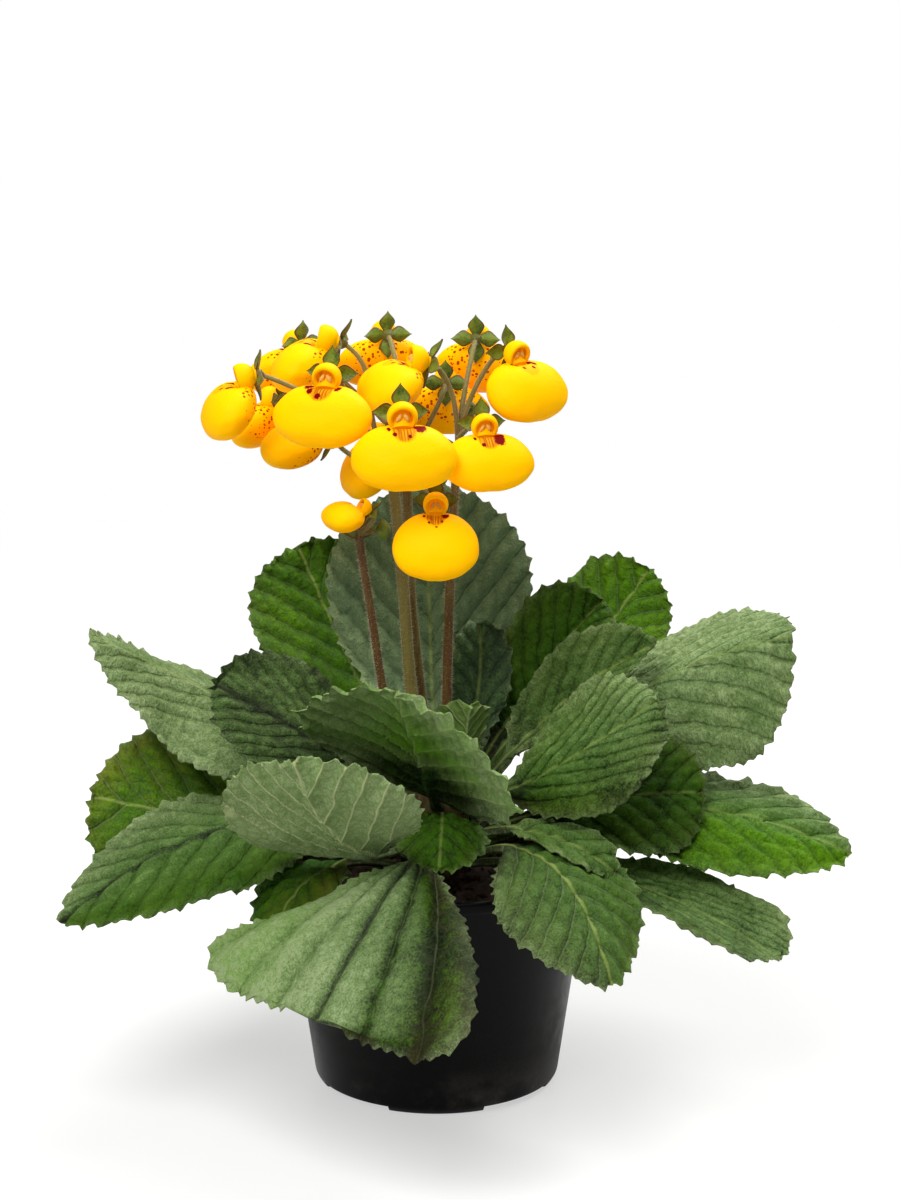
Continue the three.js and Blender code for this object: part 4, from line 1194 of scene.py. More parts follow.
def leaf_lower_material(settings):
    """The lower face: paler and duller, with raised pale veins."""
    material, tree, shader = start_material(
        "leaf_lower", Sheen_Weight=0.06, Sheen_Roughness=0.5, Sheen_Tint=settings.frost_and_sheen[:],
        Specular_IOR_Level=0.12,
    )
    lines, patches, tone = leaf_inputs(tree)
    green = leaf_green(tree, settings, lines, patches, tone, settings.underside[:])
    _, light, vein_tone = parts(tree, tone.outputs["Color"])
    green = blend(tree, times(tree, lines["Net"], 0.3), green, settings.green[:])
    # Raised veins are paler where the leaf is painted as lit, darker where painted in shade.
    pale = blend(tree, fit(tree, light, 0.1, 0.5), settings.green[:], tint("pale vein"))
    raised = sums(tree, "MAXIMUM", lines["Vein"], lines["Rib"])
    green = blend(tree, times(tree, raised, times(tree, vein_tone, 0.8)), green, pale)
    surface(tree, shader, green, lines["Grain"], (0.6, 0.8))
    height = sums(tree, "MULTIPLY_ADD", raised, 1.0, times(tree, lines["Cell"], -0.4))
    relief(tree, shader, sums(tree, "MULTIPLY_ADD", lines["Grain"], 0.8, height), 0.5)
    return material


class PLANT_OT_leaves(bpy.types.Operator):
    """Grows every leaf in place of its plain solid"""

    bl_idname = "plant.leaves"
    bl_label = "Grow the leaves"

    def execute(self, context):
        settings = context.scene.plant_leaf
        materials = [leaf_upper_material(settings), leaf_lower_material(settings)]
        for name in LEAVES:
            leaf_shape(name, settings).build(f"{name}_leaf", materials, "leaf", f"leaf_{name}")
        return {"FINISHED"}


# ---- pot


def wall_radius(height):
    """The pot wall's outer radius at a height."""
    top = POT.height - POT.rim_depth
    amount = (height - POT.corner_height) / (top - POT.corner_height)
    return mix(POT.base_radius, POT.rim_radius - POT.lip, amount)


def rounded(profile, radius, steps=4):
    """The profile with each inner corner turned into a small arc."""
    profile = np.asarray(profile, float)
    result = [profile[0]]
    for before, corner, after in zip(profile, profile[1:], profile[2:]):
        back, ahead = before - corner, after - corner
        cut = min(radius, np.linalg.norm(back) * 0.45, np.linalg.norm(ahead) * 0.45)
        ends = corner + unit(back) * cut, corner, corner + unit(ahead) * cut
        result.extend(bezier(ends, np.linspace(0, 1, steps)))
    result.append(profile[-1])
    return np.array(result)


def pot_profile():
    """The pot's section from the middle of its base, up outside and down inside."""
    top = POT.height - POT.rim_depth
    floor = POT.foot_height + POT.wall
    rim, edge = POT.rim_radius, POT.rim_edge
    return [
        (0, 0),
        (POT.base_radius - POT.corner_inset, 0),
        (POT.base_radius, POT.corner_height),
        (wall_radius(top), top),
        (rim - edge, top),
        (rim, top + edge),
        (rim, POT.height - edge),
        (rim - edge, POT.height),
        (rim - edge - POT.wall, POT.height),
        (wall_radius(top) - POT.wall, top),
        (wall_radius(floor) - POT.wall, floor),
        (0, floor),
    ]


def cutter(profile, sides, centre=(0, 0, 0)):
    """A turned solid that is cut out of the pot's base."""
    shape = Shape()
    shape.lathe(profile, sides, lambda points: points + np.array(centre))
    return shape.build_bare("cutter")


def foot_gap(start, end):
    """The block cut away between two feet, from one azimuth to the other."""
    angles = np.linspace(start, end, 10)
    inner, outer = POT.foot_inner - 0.4, POT.base_radius + 3
    rows = []
    for height in (-1, POT.foot_height):
        rows.append(
            [around(outer, angle, height) for angle in angles]
            + [around(inner, angle, height) for angle in angles[::-1]]
        )
    shape = Shape()
    numbers = shape.add(np.array(rows))
    shape.join(numbers, closed=True)
    half = len(angles)
    for ring in numbers:
        shape.join(np.stack([ring[:half], ring[half:][::-1]]))
    return shape.build_bare("cutter")


def pot_cutters(sides):
    """What is cut out of the base: the ring round the pad, the gaps between the feet and the drain holes."""
    pad, foot, top = POT.pad_radius, POT.foot_inner, POT.foot_height
    cutters = [cutter([(pad, -1), (foot, -1), (foot, top), (pad, top), (pad, -1)], sides)]
    pitch = 360 / POT.feet
    for number in range(POT.feet):
        start = number * pitch
        cutters.append(foot_gap(start + POT.foot_spread / 2, start + pitch - POT.foot_spread / 2))
    deep = POT.wall * 2
    hole = [(0, -deep), (POT.drain_radius, -deep), (POT.drain_radius, deep), (0, deep)]
    for number in range(POT.drains):
        centre = around(POT.drain_circle, (number + 0.5) * 360 / POT.drains, POT.foot_height + POT.wall)
        cutters.append(cutter(hole, POT.drain_sides, centre))
    return cutters


def cut_away(made, cutters):
    """Cuts the cutters out of an object, closes what that leaves open and takes the cutters away."""
    for tool in cutters:
        cut = made.modifiers.new("cut", "BOOLEAN")
        cut.operation = "DIFFERENCE"
        cut.solver = "EXACT"
        cut.object = tool
    finished = made.evaluated_get(bpy.context.evaluated_depsgraph_get())
    mesh = bpy.data.meshes.new_from_object(finished)
    made.modifiers.clear()
    made.data = mesh
    for tool in cutters:
        bpy.data.objects.remove(tool)
    if face_out(mesh, filled=True):
        raise RuntimeError("the pot's base could not be closed")


def pot_material(settings):
    """Black satin plastic with faint dust and fine scuffs, paler near its base."""
    material, tree, shader = start_material("pot_black", Specular_IOR_Level=0.07)
    place = object_place(tree)
    dust = mottled(tree, place, 0.03)
    specks = cells(tree, place, 900.0)["Distance"]
    spotted = times(tree, fit(tree, specks, 0.05, 0.22, 1, 0), fit(tree, dust, 0.45, 0.8))
    # Paler towards the base, in the dust colour.
    low = times(tree, fit(tree, parts(tree, place)[2], 0.0, 0.02, 0.3, 0), fit(tree, dust, 0.4, 0.8))
    amount = sums(tree, "ADD", times(tree, spotted, 0.2), times(tree, dust, 0.03))
    amount = sums(tree, "ADD", amount, low)
    dusty = blend(tree, amount, settings.black[:], settings.dust[:])
    surface(tree, shader, dusty, dust, (0.3, 0.5), span=(0.3, 0.75))
    relief(tree, shader, cloud(tree, place, 2600.0), 0.05)
    return material


class PLANT_OT_pot(bpy.types.Operator):
    """Turns the pot, with its feet and drain holes"""

    bl_idname = "plant.pot"
    bl_label = "Turn the pot"

    def execute(self, context):
        settings = context.scene.plant_pot
        shape = Shape()
        shape.lathe(rounded(pot_profile(), POT.rounding), settings.sides)
        pot = shape.build_bare("pot_turned")
        cut_away(pot, pot_cutters(settings.sides))
        if len(pot.data.polygons) < settings.sides:
            raise RuntimeError("the pot's base could not be cut")
        crease(pot.data, POT_CREASE)
        pot.data.materials.clear()
        pot.data.materials.append(pot_material(settings))
        place_piece(pot, "pot")
        return {"FINISHED"}


# ---- soil and crown


def soil_edge(height):
    """The radius of the soil at a height."""
    return wall_radius(height) - POT.wall - SOIL.clearance


def soil_height(points):
    """The soil's top at points (x, y), without its crumbs."""
    x, y = points[..., 0], points[..., 1]
    shares, rises = zip(*SOIL.mound[::-1])
    mound = np.interp(np.hypot(x, y) / soil_edge(SOIL.top), shares, rises)
    waves = np.sin(x * 0.47 + 1) * np.cos(y * 0.39) + 0.6 * np.sin(x * 0.9 - y * 0.7)
    return SOIL.top + mound + SOIL.roughness * waves


def soil_shape(settings):
    """The body of soil, its rough top and the crumbs that lie on it."""
    shape = Shape()
    inside, hole = soil_edge(SOIL.top), CROWN.radius + GAP
    angles = circle(SOIL.sides)
    rings = np.linspace(inside, hole, SOIL.rings)[:, None]
    flat = together(rings * np.cos(angles), rings * np.sin(angles), 0)
    rough = 0.9 * lumps(flat, 4.2, 3) + 0.55 * lumps(flat, 1.9, 4)
    edge = ease(inside, inside - 3, rings) * ease(hole, hole + 2, rings)
    flat[..., 2] = soil_height(flat) + rough * edge
    tone = together(0.5 + 0.5 * lumps(flat, 6, 9), 0.5 + 0.5 * lumps(flat, 2, 5), 1, 1)
    top = shape.add(flat, {"tone": tone})
    shape.join(top, closed=True)

    bottom, floor = POT.foot_height + POT.wall + GAP, SOIL.top - SOIL.hole_depth
    dark = {"tone": (0.2, 0.3, 1, 1)}
    walls = []
    for radius, height in ((soil_edge(bottom), bottom), (hole, floor)):
        ring = [(radius * math.cos(angle), radius * math.sin(angle), height) for angle in angles]
        walls.append(shape.add([ring], dark))
    outer, inner = walls
    shape.join(np.concatenate([top[:1], outer]), closed=True)
    shape.join(np.concatenate([inner, top[-1:]]), closed=True)
    centres = shape.add([(0, 0, bottom), (0, 0, floor)], dark)
    shape.close(outer[0], centres[0])
    shape.close(inner[0], centres[1])
    scatter_crumbs(shape, settings, inside, hole)
    return shape


def scatter_crumbs(shape, settings, inside, hole):
    """Lays loose crumbs of soil and bark on the top."""
    random = np.random.default_rng(SOIL.seed)
    largest = settings.crumb / MM
    profile = ball_profile(CRUMB.rings)
    for number in range(settings.crumbs):
        size = largest / 2 * random.uniform(*CRUMB.sizes) ** CRUMB.small
        nearest, furthest = hole + CRUMB.off_crown, inside - size - CRUMB.off_wall
        radius = math.sqrt(random.uniform(nearest**2, furthest**2))
        angle = random.uniform(0, 2 * math.pi)
        centre = np.array((radius * math.cos(angle), radius * math.sin(angle), 0))
        centre[2] = soil_height(centre) + size * CRUMB.raised
        stretch = random.uniform(*CRUMB.stretch, 3) * (1, 1, CRUMB.flatness)
        spin = random.uniform(0, 180)
        seed = number % 97

        def lump(points, centre=centre, size=size, stretch=stretch, spin=spin, seed=seed):
            shaken = points * (1 + CRUMB.rough * lumps(points * 1.4 + seed, 1, seed))[..., None]
            return centre + turn(shaken * stretch * size, UP, spin)

        tone = (random.uniform(0.1, 1), random.uniform(0, 1), 0.2, 1)
        shape.lathe(profile, CRUMB.sides, lump, {"tone": tone})


def soil_material(settings):
    """Crumbly soil: damp and dry patches, and crumbs of bark."""
    material, tree, shader = start_material("soil_crumbs", Specular_IOR_Level=0.2)
    place = object_place(tree)
    dry, own, _ = parts(tree, mark(tree, "tone").outputs["Color"])
    patches = mottled(tree, place, 0.006)
    amount = times(tree, dry, patches, fit(tree, own, 0, 1, 0.5, 1.6))
    surface(tree, shader, blend(tree, amount, settings.dark[:], settings.pale[:]), patches, (0.75, 0.98))
    relief(tree, shader, cloud(tree, place, 1500.0, 4, 0.7), 0.5)
    return material


class PLANT_OT_soil(bpy.types.Operator):
    """Fills the pot with soil and strews crumbs on it"""

    bl_idname = "plant.soil"
    bl_label = "Fill the soil"

    def execute(self, context):
        settings = context.scene.plant_soil
        soil_shape(settings).build("soil_crumbs", [soil_material(settings)], "soil", "soil")
        return {"FINISHED"}


def crown_shape():
    """The crown: a ribbed core of stalk bases, with short scales round its top."""
    shape = Shape()
    bottom = SOIL.top - SOIL.hole_depth + GAP
    shoulder = CROWN.top - CROWN.shoulder
    rows = np.linspace(bottom + 1.5 * CROWN.root, shoulder, CROWN.rows)
    heights = [bottom, bottom + CROWN.root, *rows, CROWN.top]
    radii = np.interp(
        heights,
        [bottom, bottom + CROWN.root, shoulder, CROWN.top],
        [CROWN.top_radius, CROWN.radius, CROWN.radius, CROWN.top_radius],
    )
    dome = [(CROWN.top_radius * 0.55, CROWN.top - 0.1), (0, CROWN.top - 0.3)]
    profile = [(0, bottom), *zip(radii - 0.15, heights), *dome]
    shape.lathe(profile, CROWN.sides, crown_ribs, {"tone": (0.5, 0.35, 0, 1)})
    for ring, (height, count) in enumerate(CROWN.scales):
        for number in range(count):
            azimuth = (number + 0.5 * ring) * 360 / count + SCALE.turn * ring
            add_scale(shape, azimuth, height)
    return shape


def crown_ribs(points):
    """Points of the crown's plain core with the ribs of the stalks' bases cut between them."""
    angle = np.arctan2(points[..., 1], points[..., 0])
    sway = angle + 0.012 * points[..., 2]
    ribs = 0.9 * np.abs(np.sin(sway * CROWN.ribs / 2)) ** 1.4 + 0.35 * (lumps(points, 3, 2) + 1) / 2
    radius = np.hypot(points[..., 0], points[..., 1])
    shrink = 1 - np.where(radius > 0.5, (1.15 - ribs) / np.maximum(radius, 1), 0) * 0.9
    return points * together(shrink, shrink, 1)


def add_scale(shape, azimuth, height):
    """A short scale that hugs the crown."""
    along = np.linspace(0, 1, 8)[:, None]
    side = np.linspace(-1, 1, 7)
    width = SCALE.half_width * np.maximum(0.02, 1 - along**2.2) ** 0.6
    radius = CROWN.radius - SCALE.sunk + SCALE.swell * (1 - side**2) * (1 - along)
    angle = math.radians(azimuth) + side * width / CROWN.radius
    level = height + SCALE.length * along
    layers = (radius, radius - SCALE.thickness)
    sheets = [together(layer * np.cos(angle), layer * np.sin(angle), level) for layer in layers]
    shape.pair(*sheets, {"tone": (0.25, 0.6, 0, 1)})


def crown_material(settings):
    """Old stalk bases and scales: dark, fibrous and brown."""
    material, tree, shader = start_material("crown_fibre", Specular_IOR_Level=0.2)
    streaks = mottled(tree, stretched(tree, object_place(tree), (1, 1, 0.2)), 0.0015)
    green = blend(tree, 0.75, settings.olive[:], tint("damp olive"))
    brown = blend(tree, 0.75, settings.russet[:], tint("damp brown"))
    surface(tree, shader, blend(tree, fit(tree, streaks, 0.2, 0.8), green, brown), streaks, (0.6, 0.85))
    relief(tree, shader, streaks, 0.3)
    return material


class PLANT_OT_crown(bpy.types.Operator):
    """Builds the crown that every stalk grows from"""

    bl_idname = "plant.crown"
    bl_label = "Grow the crown"

    def execute(self, context):
        crown_shape().build("crown_scales", [crown_material(context.scene.plant_stem)], "crown", "crown")
        return {"FINISHED"}


# ---- flower stems


def bloom_of(name):
    """A bloom's values by name."""
    scape, calyx, yaw, nod, size = BLOOMS[name]
    return Values(
        scape=scape, calyx=np.array(calyx, float), yaw=yaw, nod=nod, size=size, plump=PLUMP.get(name, 1),
        via=VIAS.get(name), marks=BLOOM_MARKS.get(name, FEW_MARKS), seed=sorted(BLOOMS).index(name) + 1,
    )


def in_bloom(bloom, points):
    """Points of a bloom's own frame, which faces +X from its calyx, in the plant's frame."""
    nodded = turn(np.asarray(points, float), (0, 1, 0), bloom.nod)
    return bloom.calyx + turn(nodded, UP, bloom.yaw)


def stem_marks(count, russet, seed):
    """Marks of a stem: how russet it is, from its base to its end."""
    return {"tone": together(mix(*russet, np.linspace(0, 1, count)[:, None]), 0.2, seed, 1)}


def leaflet_width(along):
    """The share of a leaflet's half width at a share of its length, pointed at its tip."""
    below = LEAFLET.base + (1 - LEAFLET.base) * ease(0, LEAFLET.widest, along)
    above = (1 - ease(LEAFLET.widest, 1.02, along)) ** LEAFLET.sharp
    return np.where(along < LEAFLET.widest, below, above)


def leaflet(kind):
    """The front and back sheets of a sepal or bract that lies along +Z and faces +X, and their marks."""
    along = np.linspace(0, 1, LEAFLET.rows)[:, None]
    side = np.linspace(-1, 1, LEAFLET.columns)
    width = kind.width / 2 * leaflet_width(along)
    curl = 0.9 * side**2 * width / 2.6 - kind.keel * bell(side, 0.25) * (1 - along)
    front = together(curl, side * width, kind.length * along)
    back = front - along_x(kind.thickness * (1 - 0.6 * np.abs(side)))
    edge = np.maximum(np.abs(side), ease(0.75, 1, along))
    return front, back, {"tone": together(0, edge, along, 1)}


def add_calyx(shape, bloom):
    """The green star behind a bloom and the cup that tapers back to its stalk."""
    slope = math.tan(math.radians(SEPAL.reflex))
    front, back, marks = leaflet(SEPAL)
    for number in range(4):
        sheets = []
        for sheet in (front, back):
            out = sheet + (0, 0, SEPAL.start)
            lean = -np.maximum(0, out[..., 2] - CALYX.radius) * slope
            bend = SEPAL.bend * np.maximum(0, out[..., 2] - SEPAL.bend_from) ** 2
            out = out + along_x(lean + bend)
            sheets.append(in_bloom(bloom, turn(out, (1, 0, 0), 90 * number) * bloom.size))
        shape.pair(*sheets, marks, finish=1)

    def place(points):
        return in_bloom(bloom, points[..., [2, 0, 1]] * bloom.size)

    shape.lathe(CUP, CALYX.sides, place, {"tone": (0.6, 0.4, 0.2, 1)}, finish=1)


def pedicel_line(fork, bloom):
    """The line of a bloom's stalk, from the fork to the back of its calyx."""
    back = in_bloom(bloom, (-1.0, 0.0, 0.0)) - bloom.calyx
    end = bloom.calyx + back * CALYX.depth * bloom.size * CALYX.sunk
    reach = np.linalg.norm(end - fork)
    before = end + back * reach * PEDICEL.behind - UP * reach * PEDICEL.below
    start = np.array(bloom.via, float) if bloom.via else fork + UP * reach * PEDICEL.climb
    return bezier((fork, start, before, end), np.linspace(0, 1, PEDICEL.steps))


def add_bract(shape, fork, azimuth):
    """A pointed leaflet that leans out from the fork."""
    front, back, marks = leaflet(BRACT)
    sheets = []
    for sheet in (front, back):
        arched = sheet + along_x(BRACT.arch * sheet[..., 2] ** 2)
        leaning = turn(arched, (0, 1, 0), BRACT.tilt)
        sheets.append(fork + turn(leaning, UP, azimuth) - UP * BRACT.drop)
    shape.pair(*sheets, marks, finish=1)


def add_bud(shape, fork, bud):
    """A closed bud on its short stalk, with the seams of its four sepals."""
    centre, radius = np.array(bud[:3], float), bud[3]
    line = mix(fork, centre, np.linspace(0, 1, BUD.steps)[:, None])
    radii = np.linspace(*BUD.stalk_radii, BUD.steps)
    shape.tube(line, radii, BUD.sides, stem_marks(BUD.steps, (0.5, 0.3), 3))

    def place(points):
        around_it = np.arctan2(points[..., 1], points[..., 0])
        seams = 1 - BUD.seam * np.abs(np.cos(2 * around_it)) ** 6
        narrow = seams * (1 - BUD.pinch * ease(0.2, 1, points[..., 2]))
        return centre + points * together(narrow, narrow, BUD.stretch) * radius

    profile = ball_profile(np.linspace(0, 180, 15))
    shape.lathe(profile, 24, place, {"tone": (0, 0.25, 0.2, 1)}, finish=1)


def add_hairs(shape, line, radii, count, longest, random):
    """Fine spikes that stand out of a stem."""
    along = unit(np.gradient(line, axis=0))
    sides = np.array([(0, 1, 3), (1, 2, 3), (2, 0, 3), (2, 1, 0)])
    foot = HAIR.foot
    for _ in range(count):
        place = random.uniform(0.5, len(line) - 1.5)
        index = int(place)
        centre = mix(line[index], line[index + 1], place - index)
        radius = mix(radii[index], radii[index + 1], place - index)
        ahead = along[index]
        out = unit(np.cross(ahead, random.normal(size=3)))
        side = np.cross(ahead, out)
        root = centre + out * (radius - HAIR.rooted)
        tip = root + out * longest * random.uniform(*HAIR.lengths) + ahead * random.uniform(*HAIR.lean)
        points = [
            root + side * foot,
            root - side * foot * 0.5 + ahead * foot,
            root - side * foot * 0.5 - ahead * foot,
            tip,
        ]
        numbers = shape.add(points, {"tone": (0, 0, 0, 1)})
        shape.faces.append((numbers[sides], 2))


def scape_shape(name, settings):
    """A scape with its stalks, stars, bracts and buds."""
    radii, bract_turn, route, buds = SCAPES[name]
    random = np.random.default_rng(sorted(SCAPES).index(name) + 5)
    shape = Shape()
    line = through(route, STEM.steps)
    swell = 1 + STEM.uneven * lumps(line, STEM.uneven_size, 2)
    width = np.linspace(*radii, len(line)) * swell
    shape.tube(line, width, STEM.sides, stem_marks(len(line), RUSSET[name], 1))
    longest = settings.hair / MM
    add_hairs(shape, line, width, settings.hairs, longest, random)
    fork = line[-1]
    root = fork - UP * PEDICEL.sunk
    thin = np.linspace(*PEDICEL.radii, PEDICEL.steps)
    skin = stem_marks(PEDICEL.steps, (0.5, 0.1), 2)
    for bloom in map(bloom_of, BLOOMS):
        if bloom.scape != name:
            continue
        stalk = pedicel_line(root, bloom)
        shape.tube(stalk, thin, PEDICEL.sides, skin)
        add_hairs(shape, stalk, thin, settings.hairs // HAIR.fewer, longest * HAIR.shorter, random)
        add_calyx(shape, bloom)
    for azimuth in (bract_turn, bract_turn + 180):
        add_bract(shape, fork, azimuth)
    for bud in buds:
        add_bud(shape, fork, bud)
    return shape


def stem_material(settings):
    """Stem skin: olive to russet, streaked along its length."""
    material, tree, shader = start_material(
        "stem_skin", Sheen_Weight=0.3, Sheen_Roughness=0.4, Specular_IOR_Level=0.3,
    )
    russet = parts(tree, mark(tree, "tone").outputs["Color"])[0]
    streaks = mottled(tree, stretched(tree, object_place(tree), (1, 1, 0.15)), 0.0012)
    amount = fit(tree, swing(tree, streaks, 0.9, russet), 0.1, 0.9)
    surface(tree, shader, blend(tree, amount, settings.olive[:], settings.russet[:]), streaks, (0.42, 0.62))
    relief(tree, shader, streaks, 0.12)
    return material


def sepal_material(settings):
    """Sepals and bracts: green with a brown edge and fine ribs."""
    material, tree, shader = start_material(
        "sepal_green", Sheen_Weight=0.2, Sheen_Roughness=0.4, Specular_IOR_Level=0.35,
    )
    place = object_place(tree)
    brown, edge, _ = parts(tree, mark(tree, "tone").outputs["Color"])
    patches = mottled(tree, place, 0.003)
    green = blend(tree, fit(tree, patches, 0.1, 0.7), tint("sepal shade"), settings.sepal[:])
    rim = fit(tree, sums(tree, "MULTIPLY_ADD", patches, 0.12, edge), 0.78, 1.0)
    green = blend(tree, sums(tree, "MAXIMUM", rim, brown), green, settings.rim[:])
    surface(tree, shader, green, patches, (0.42, 0.6))
    relief(tree, shader, cells(tree, place, 1400.0)["Distance"], 0.12)
    return material


def hair_material():
    """Pale hairs, a little uneven in colour."""
    material, tree, shader = start_material("stem_hairs", Roughness=0.6, Specular_IOR_Level=0.3)
    patches = mottled(tree, object_place(tree), 0.01)
    put(tree, shader.inputs["Base Color"], blend(tree, patches, tint("hair root"), tint("hair tip")))
    return material


class PLANT_OT_scapes(bpy.types.Operator):
    """Raises the flower stems with their stalks, stars, bracts, buds and hairs"""

    bl_idname = "plant.scapes"
    bl_label = "Raise the flower stems"

    def execute(self, context):
        settings = context.scene.plant_stem
        materials = [stem_material(settings), sepal_material(settings), hair_material()]
        for name in SCAPES:
            scape_shape(name, settings).build(f"{name}_scape", materials, "scape", f"scape_{name}")
        return {"FINISHED"}


# ---- blooms


def pouch_points(bloom, round_points):
    """Points of the pouch's skin for points of the unit ball, in the bloom's own frame at size 1."""
    mouth = unit(np.array(MOUTH.direction, float))
    away = np.arccos(np.clip(round_points @ mouth, -1, 1))
    pressed = 1 - MOUTH.depth * bell(away, MOUTH.spread) - MOUTH.pit * bell(away, MOUTH.pit_spread)
    x, y, z = np.moveaxis(round_points, -1, 0)
    crease_there = 1 - 0.025 * bell(y, 0.13) * ease(-0.3, 0.5, x)
    soft = 1 + 0.02 * lumps(round_points * 3 + bloom.seed, 1, bloom.seed) * ease(0.4, 1.2, away)
    forward = (x * pressed + bloom.plump - 1) * POUCH.long * bloom.plump * crease_there * soft
    across = y * POUCH.wide * (1 + 0.08 * x) * soft
    up = z * pressed * POUCH.thick * soft
    cosine, sine = math.cos(math.radians(POUCH.tilt)), math.sin(math.radians(POUCH.tilt))
    ahead = POUCH.centre[0] + forward * cosine + up * sine
    height = POUCH.centre[2] - forward * sine + up * cosine
    return together(ahead, across, height)


def mouth_marks(bloom, points, round_points):
    """The painted marks of the pouch: throat, painted orange shade, blotches and speckle density."""
    x, y, z = np.moveaxis(round_points, -1, 0)
    local_x, sideways, local_z = np.moveaxis(points, -1, 0)
    front = ease(*MARKS.front, local_x)
    slope = math.radians(MARKS.slope)
    height = (local_z - HOOD.centre[2]) * math.cos(slope) - (local_x - HOOD.centre[0]) * math.sin(slope)
    throat = ease(*MARKS.throat, np.hypot(sideways, np.minimum(0, height + MARKS.throat_top))) * front
    throat = throat * (MARKS.faint if bloom.marks is FEW_MARKS else 1)
    # Painted shade: orange on the pouch's lower side, its front rim and its flanks.
    painted_orange_shade = 0.7 * ease(0.1, -0.9, z + 0.2 * x) + 0.3 * ease(0.55, 0.95, x) + 0.25 * ease(0.7, 1, np.abs(y))
    field = np.full(height.shape, MARKS.furthest)
    for angle, radius, size in bloom.marks:
        spot = math.radians(angle)
        distance = np.hypot(sideways - radius * math.sin(spot), height + radius * math.cos(spot))
        field = np.minimum(field, distance / (MARKS.spread * size))
    field = np.where(front > 0.3, field, MARKS.furthest) / MARKS.furthest
    dots = (1 - front) * ease(-20, -10, local_z) * ease(1.0, 0.7, np.abs(y))
    return together(throat, np.clip(painted_orange_shade, 0, 1), field, dots)


def ball(rings, rays, pole):
    """Points of a unit ball in rings round a pole, closest together near it, and its two poles."""
    pole = unit(np.array(pole, float))
    across = np.array((0.0, 1.0, 0.0))
    other = np.cross(pole, across)
    polar = math.pi * np.linspace(0, 1, rings + 1)[1:-1, None, None] ** 1.35
    angles = circle(rays)[:, None]
    points = np.cos(polar) * pole + np.sin(polar) * (np.cos(angles) * across + np.sin(angles) * other)
    return points, np.stack([pole, -pole])


def add_pouch(shape, bloom, settings):
    """The inflated lower lip with its pressed-in mouth."""
    skin, poles = ball(settings.rings, settings.rays, MOUTH.direction)
    numbers = []
    for round_points in (skin, poles):
        points = pouch_points(bloom, round_points)
        marks = {"local": points, "mark": mouth_marks(bloom, points, round_points)}
        numbers.append(shape.add(in_bloom(bloom, points * bloom.size), marks))
    rings, tips = numbers
    shape.join(rings, closed=True)
    shape.close(rings[0], tips[0])
    shape.close(rings[-1], tips[1])


def arc_points(radii, angles):
    """(radius, height) pairs at radii and at angles in radians from the lowest point."""
    return together(radii * np.sin(angles), -radii * np.cos(angles))


def hood_profile():
    """The hood's section from its crown outside, round its rolled edge and back inside, and its depth."""
    tip, middle = math.radians(HOOD.opening), HOOD.outer - HOOD.roll
    bends = np.radians(np.linspace(20, 180, 8))
    outer = arc_points(HOOD.outer, np.radians(np.linspace(0, HOOD.opening, 18)))
    edge = arc_points(middle + HOOD.roll * np.cos(bends), tip + HOOD.roll * np.sin(bends) / middle)
    inner = arc_points(HOOD.outer - HOOD.wall * 1.5, np.radians(np.linspace(HOOD.opening - 8, 0, 14)))
    profile = np.vstack([outer, edge, inner])
    profile[[0, -1], 0] = 0
    depth = 0.6 * np.concatenate([np.zeros(len(outer)), np.linspace(0, 1, len(edge)), np.ones(len(inner))])
    return profile, depth


def add_hood(shape, bloom):
    """The round upper lip: a thin shell with a rolled edge that opens over the mouth."""
    profile, depth = hood_profile()
    inside, depth = profile[1:-1], depth[1:-1]
    # Inside, the hood takes the throat's colour, with a little of the orange of painted shade.
    tone, local = together(depth, 0.12, 1, 0), together(inside[:, 1], inside[:, 0], 0)
    marks = {"mark": tone[:, None], "local": local[:, None]}

    def place(points):
        tipped = turn(points, (0, 1, 0), 90 + HOOD.tilt) + np.array(HOOD.centre, float)
        return in_bloom(bloom, tipped * bloom.size)

    shape.lathe(profile, HOOD.sides, place, marks)


def add_neck(shape, bloom):
    """The short neck that joins calyx, hood and pouch."""
    run = np.linspace(0, 1, 12)
    line = bezier(((GAP / bloom.size, 0, 0), (NECK.end[0] / 2, 0, 0), NECK.end), run)
    radii = mix(*NECK.radii, run**1.3)
    placed = in_bloom(bloom, line * bloom.size)
    # The neck is painted partly in the orange of painted shade.
    shape.tube(placed, radii * bloom.size, 24, {"mark": (0.1, 0.45, 1, 0.2), "local": (0, 0, 0)})


def add_anthers(shape, bloom):
    """Two pale anthers that lean together under the hood."""
    profile = ball_profile(np.linspace(0, 180, 9))
    for sign in (-1, 1):

        def place(points, sign=sign):
            pod = turn(points * ANTHER.stretch, (1, 0, 0), ANTHER.lean * sign)
            centre = (ANTHER.ahead, ANTHER.apart * sign, HOOD.centre[2] - ANTHER.lower)
            return in_bloom(bloom, (pod + centre) * bloom.size)

        shape.lathe(profile, 12, place, {"mark": (0, 0, 1, 0), "local": (0, 0, 0)}, finish=1)


def bloom_shape(name, settings):
    """A whole bloom."""
    bloom = bloom_of(name)
    shape = Shape()
    add_pouch(shape, bloom, settings)
    add_hood(shape, bloom)
    add_neck(shape, bloom)
    add_anthers(shape, bloom)
    return shape


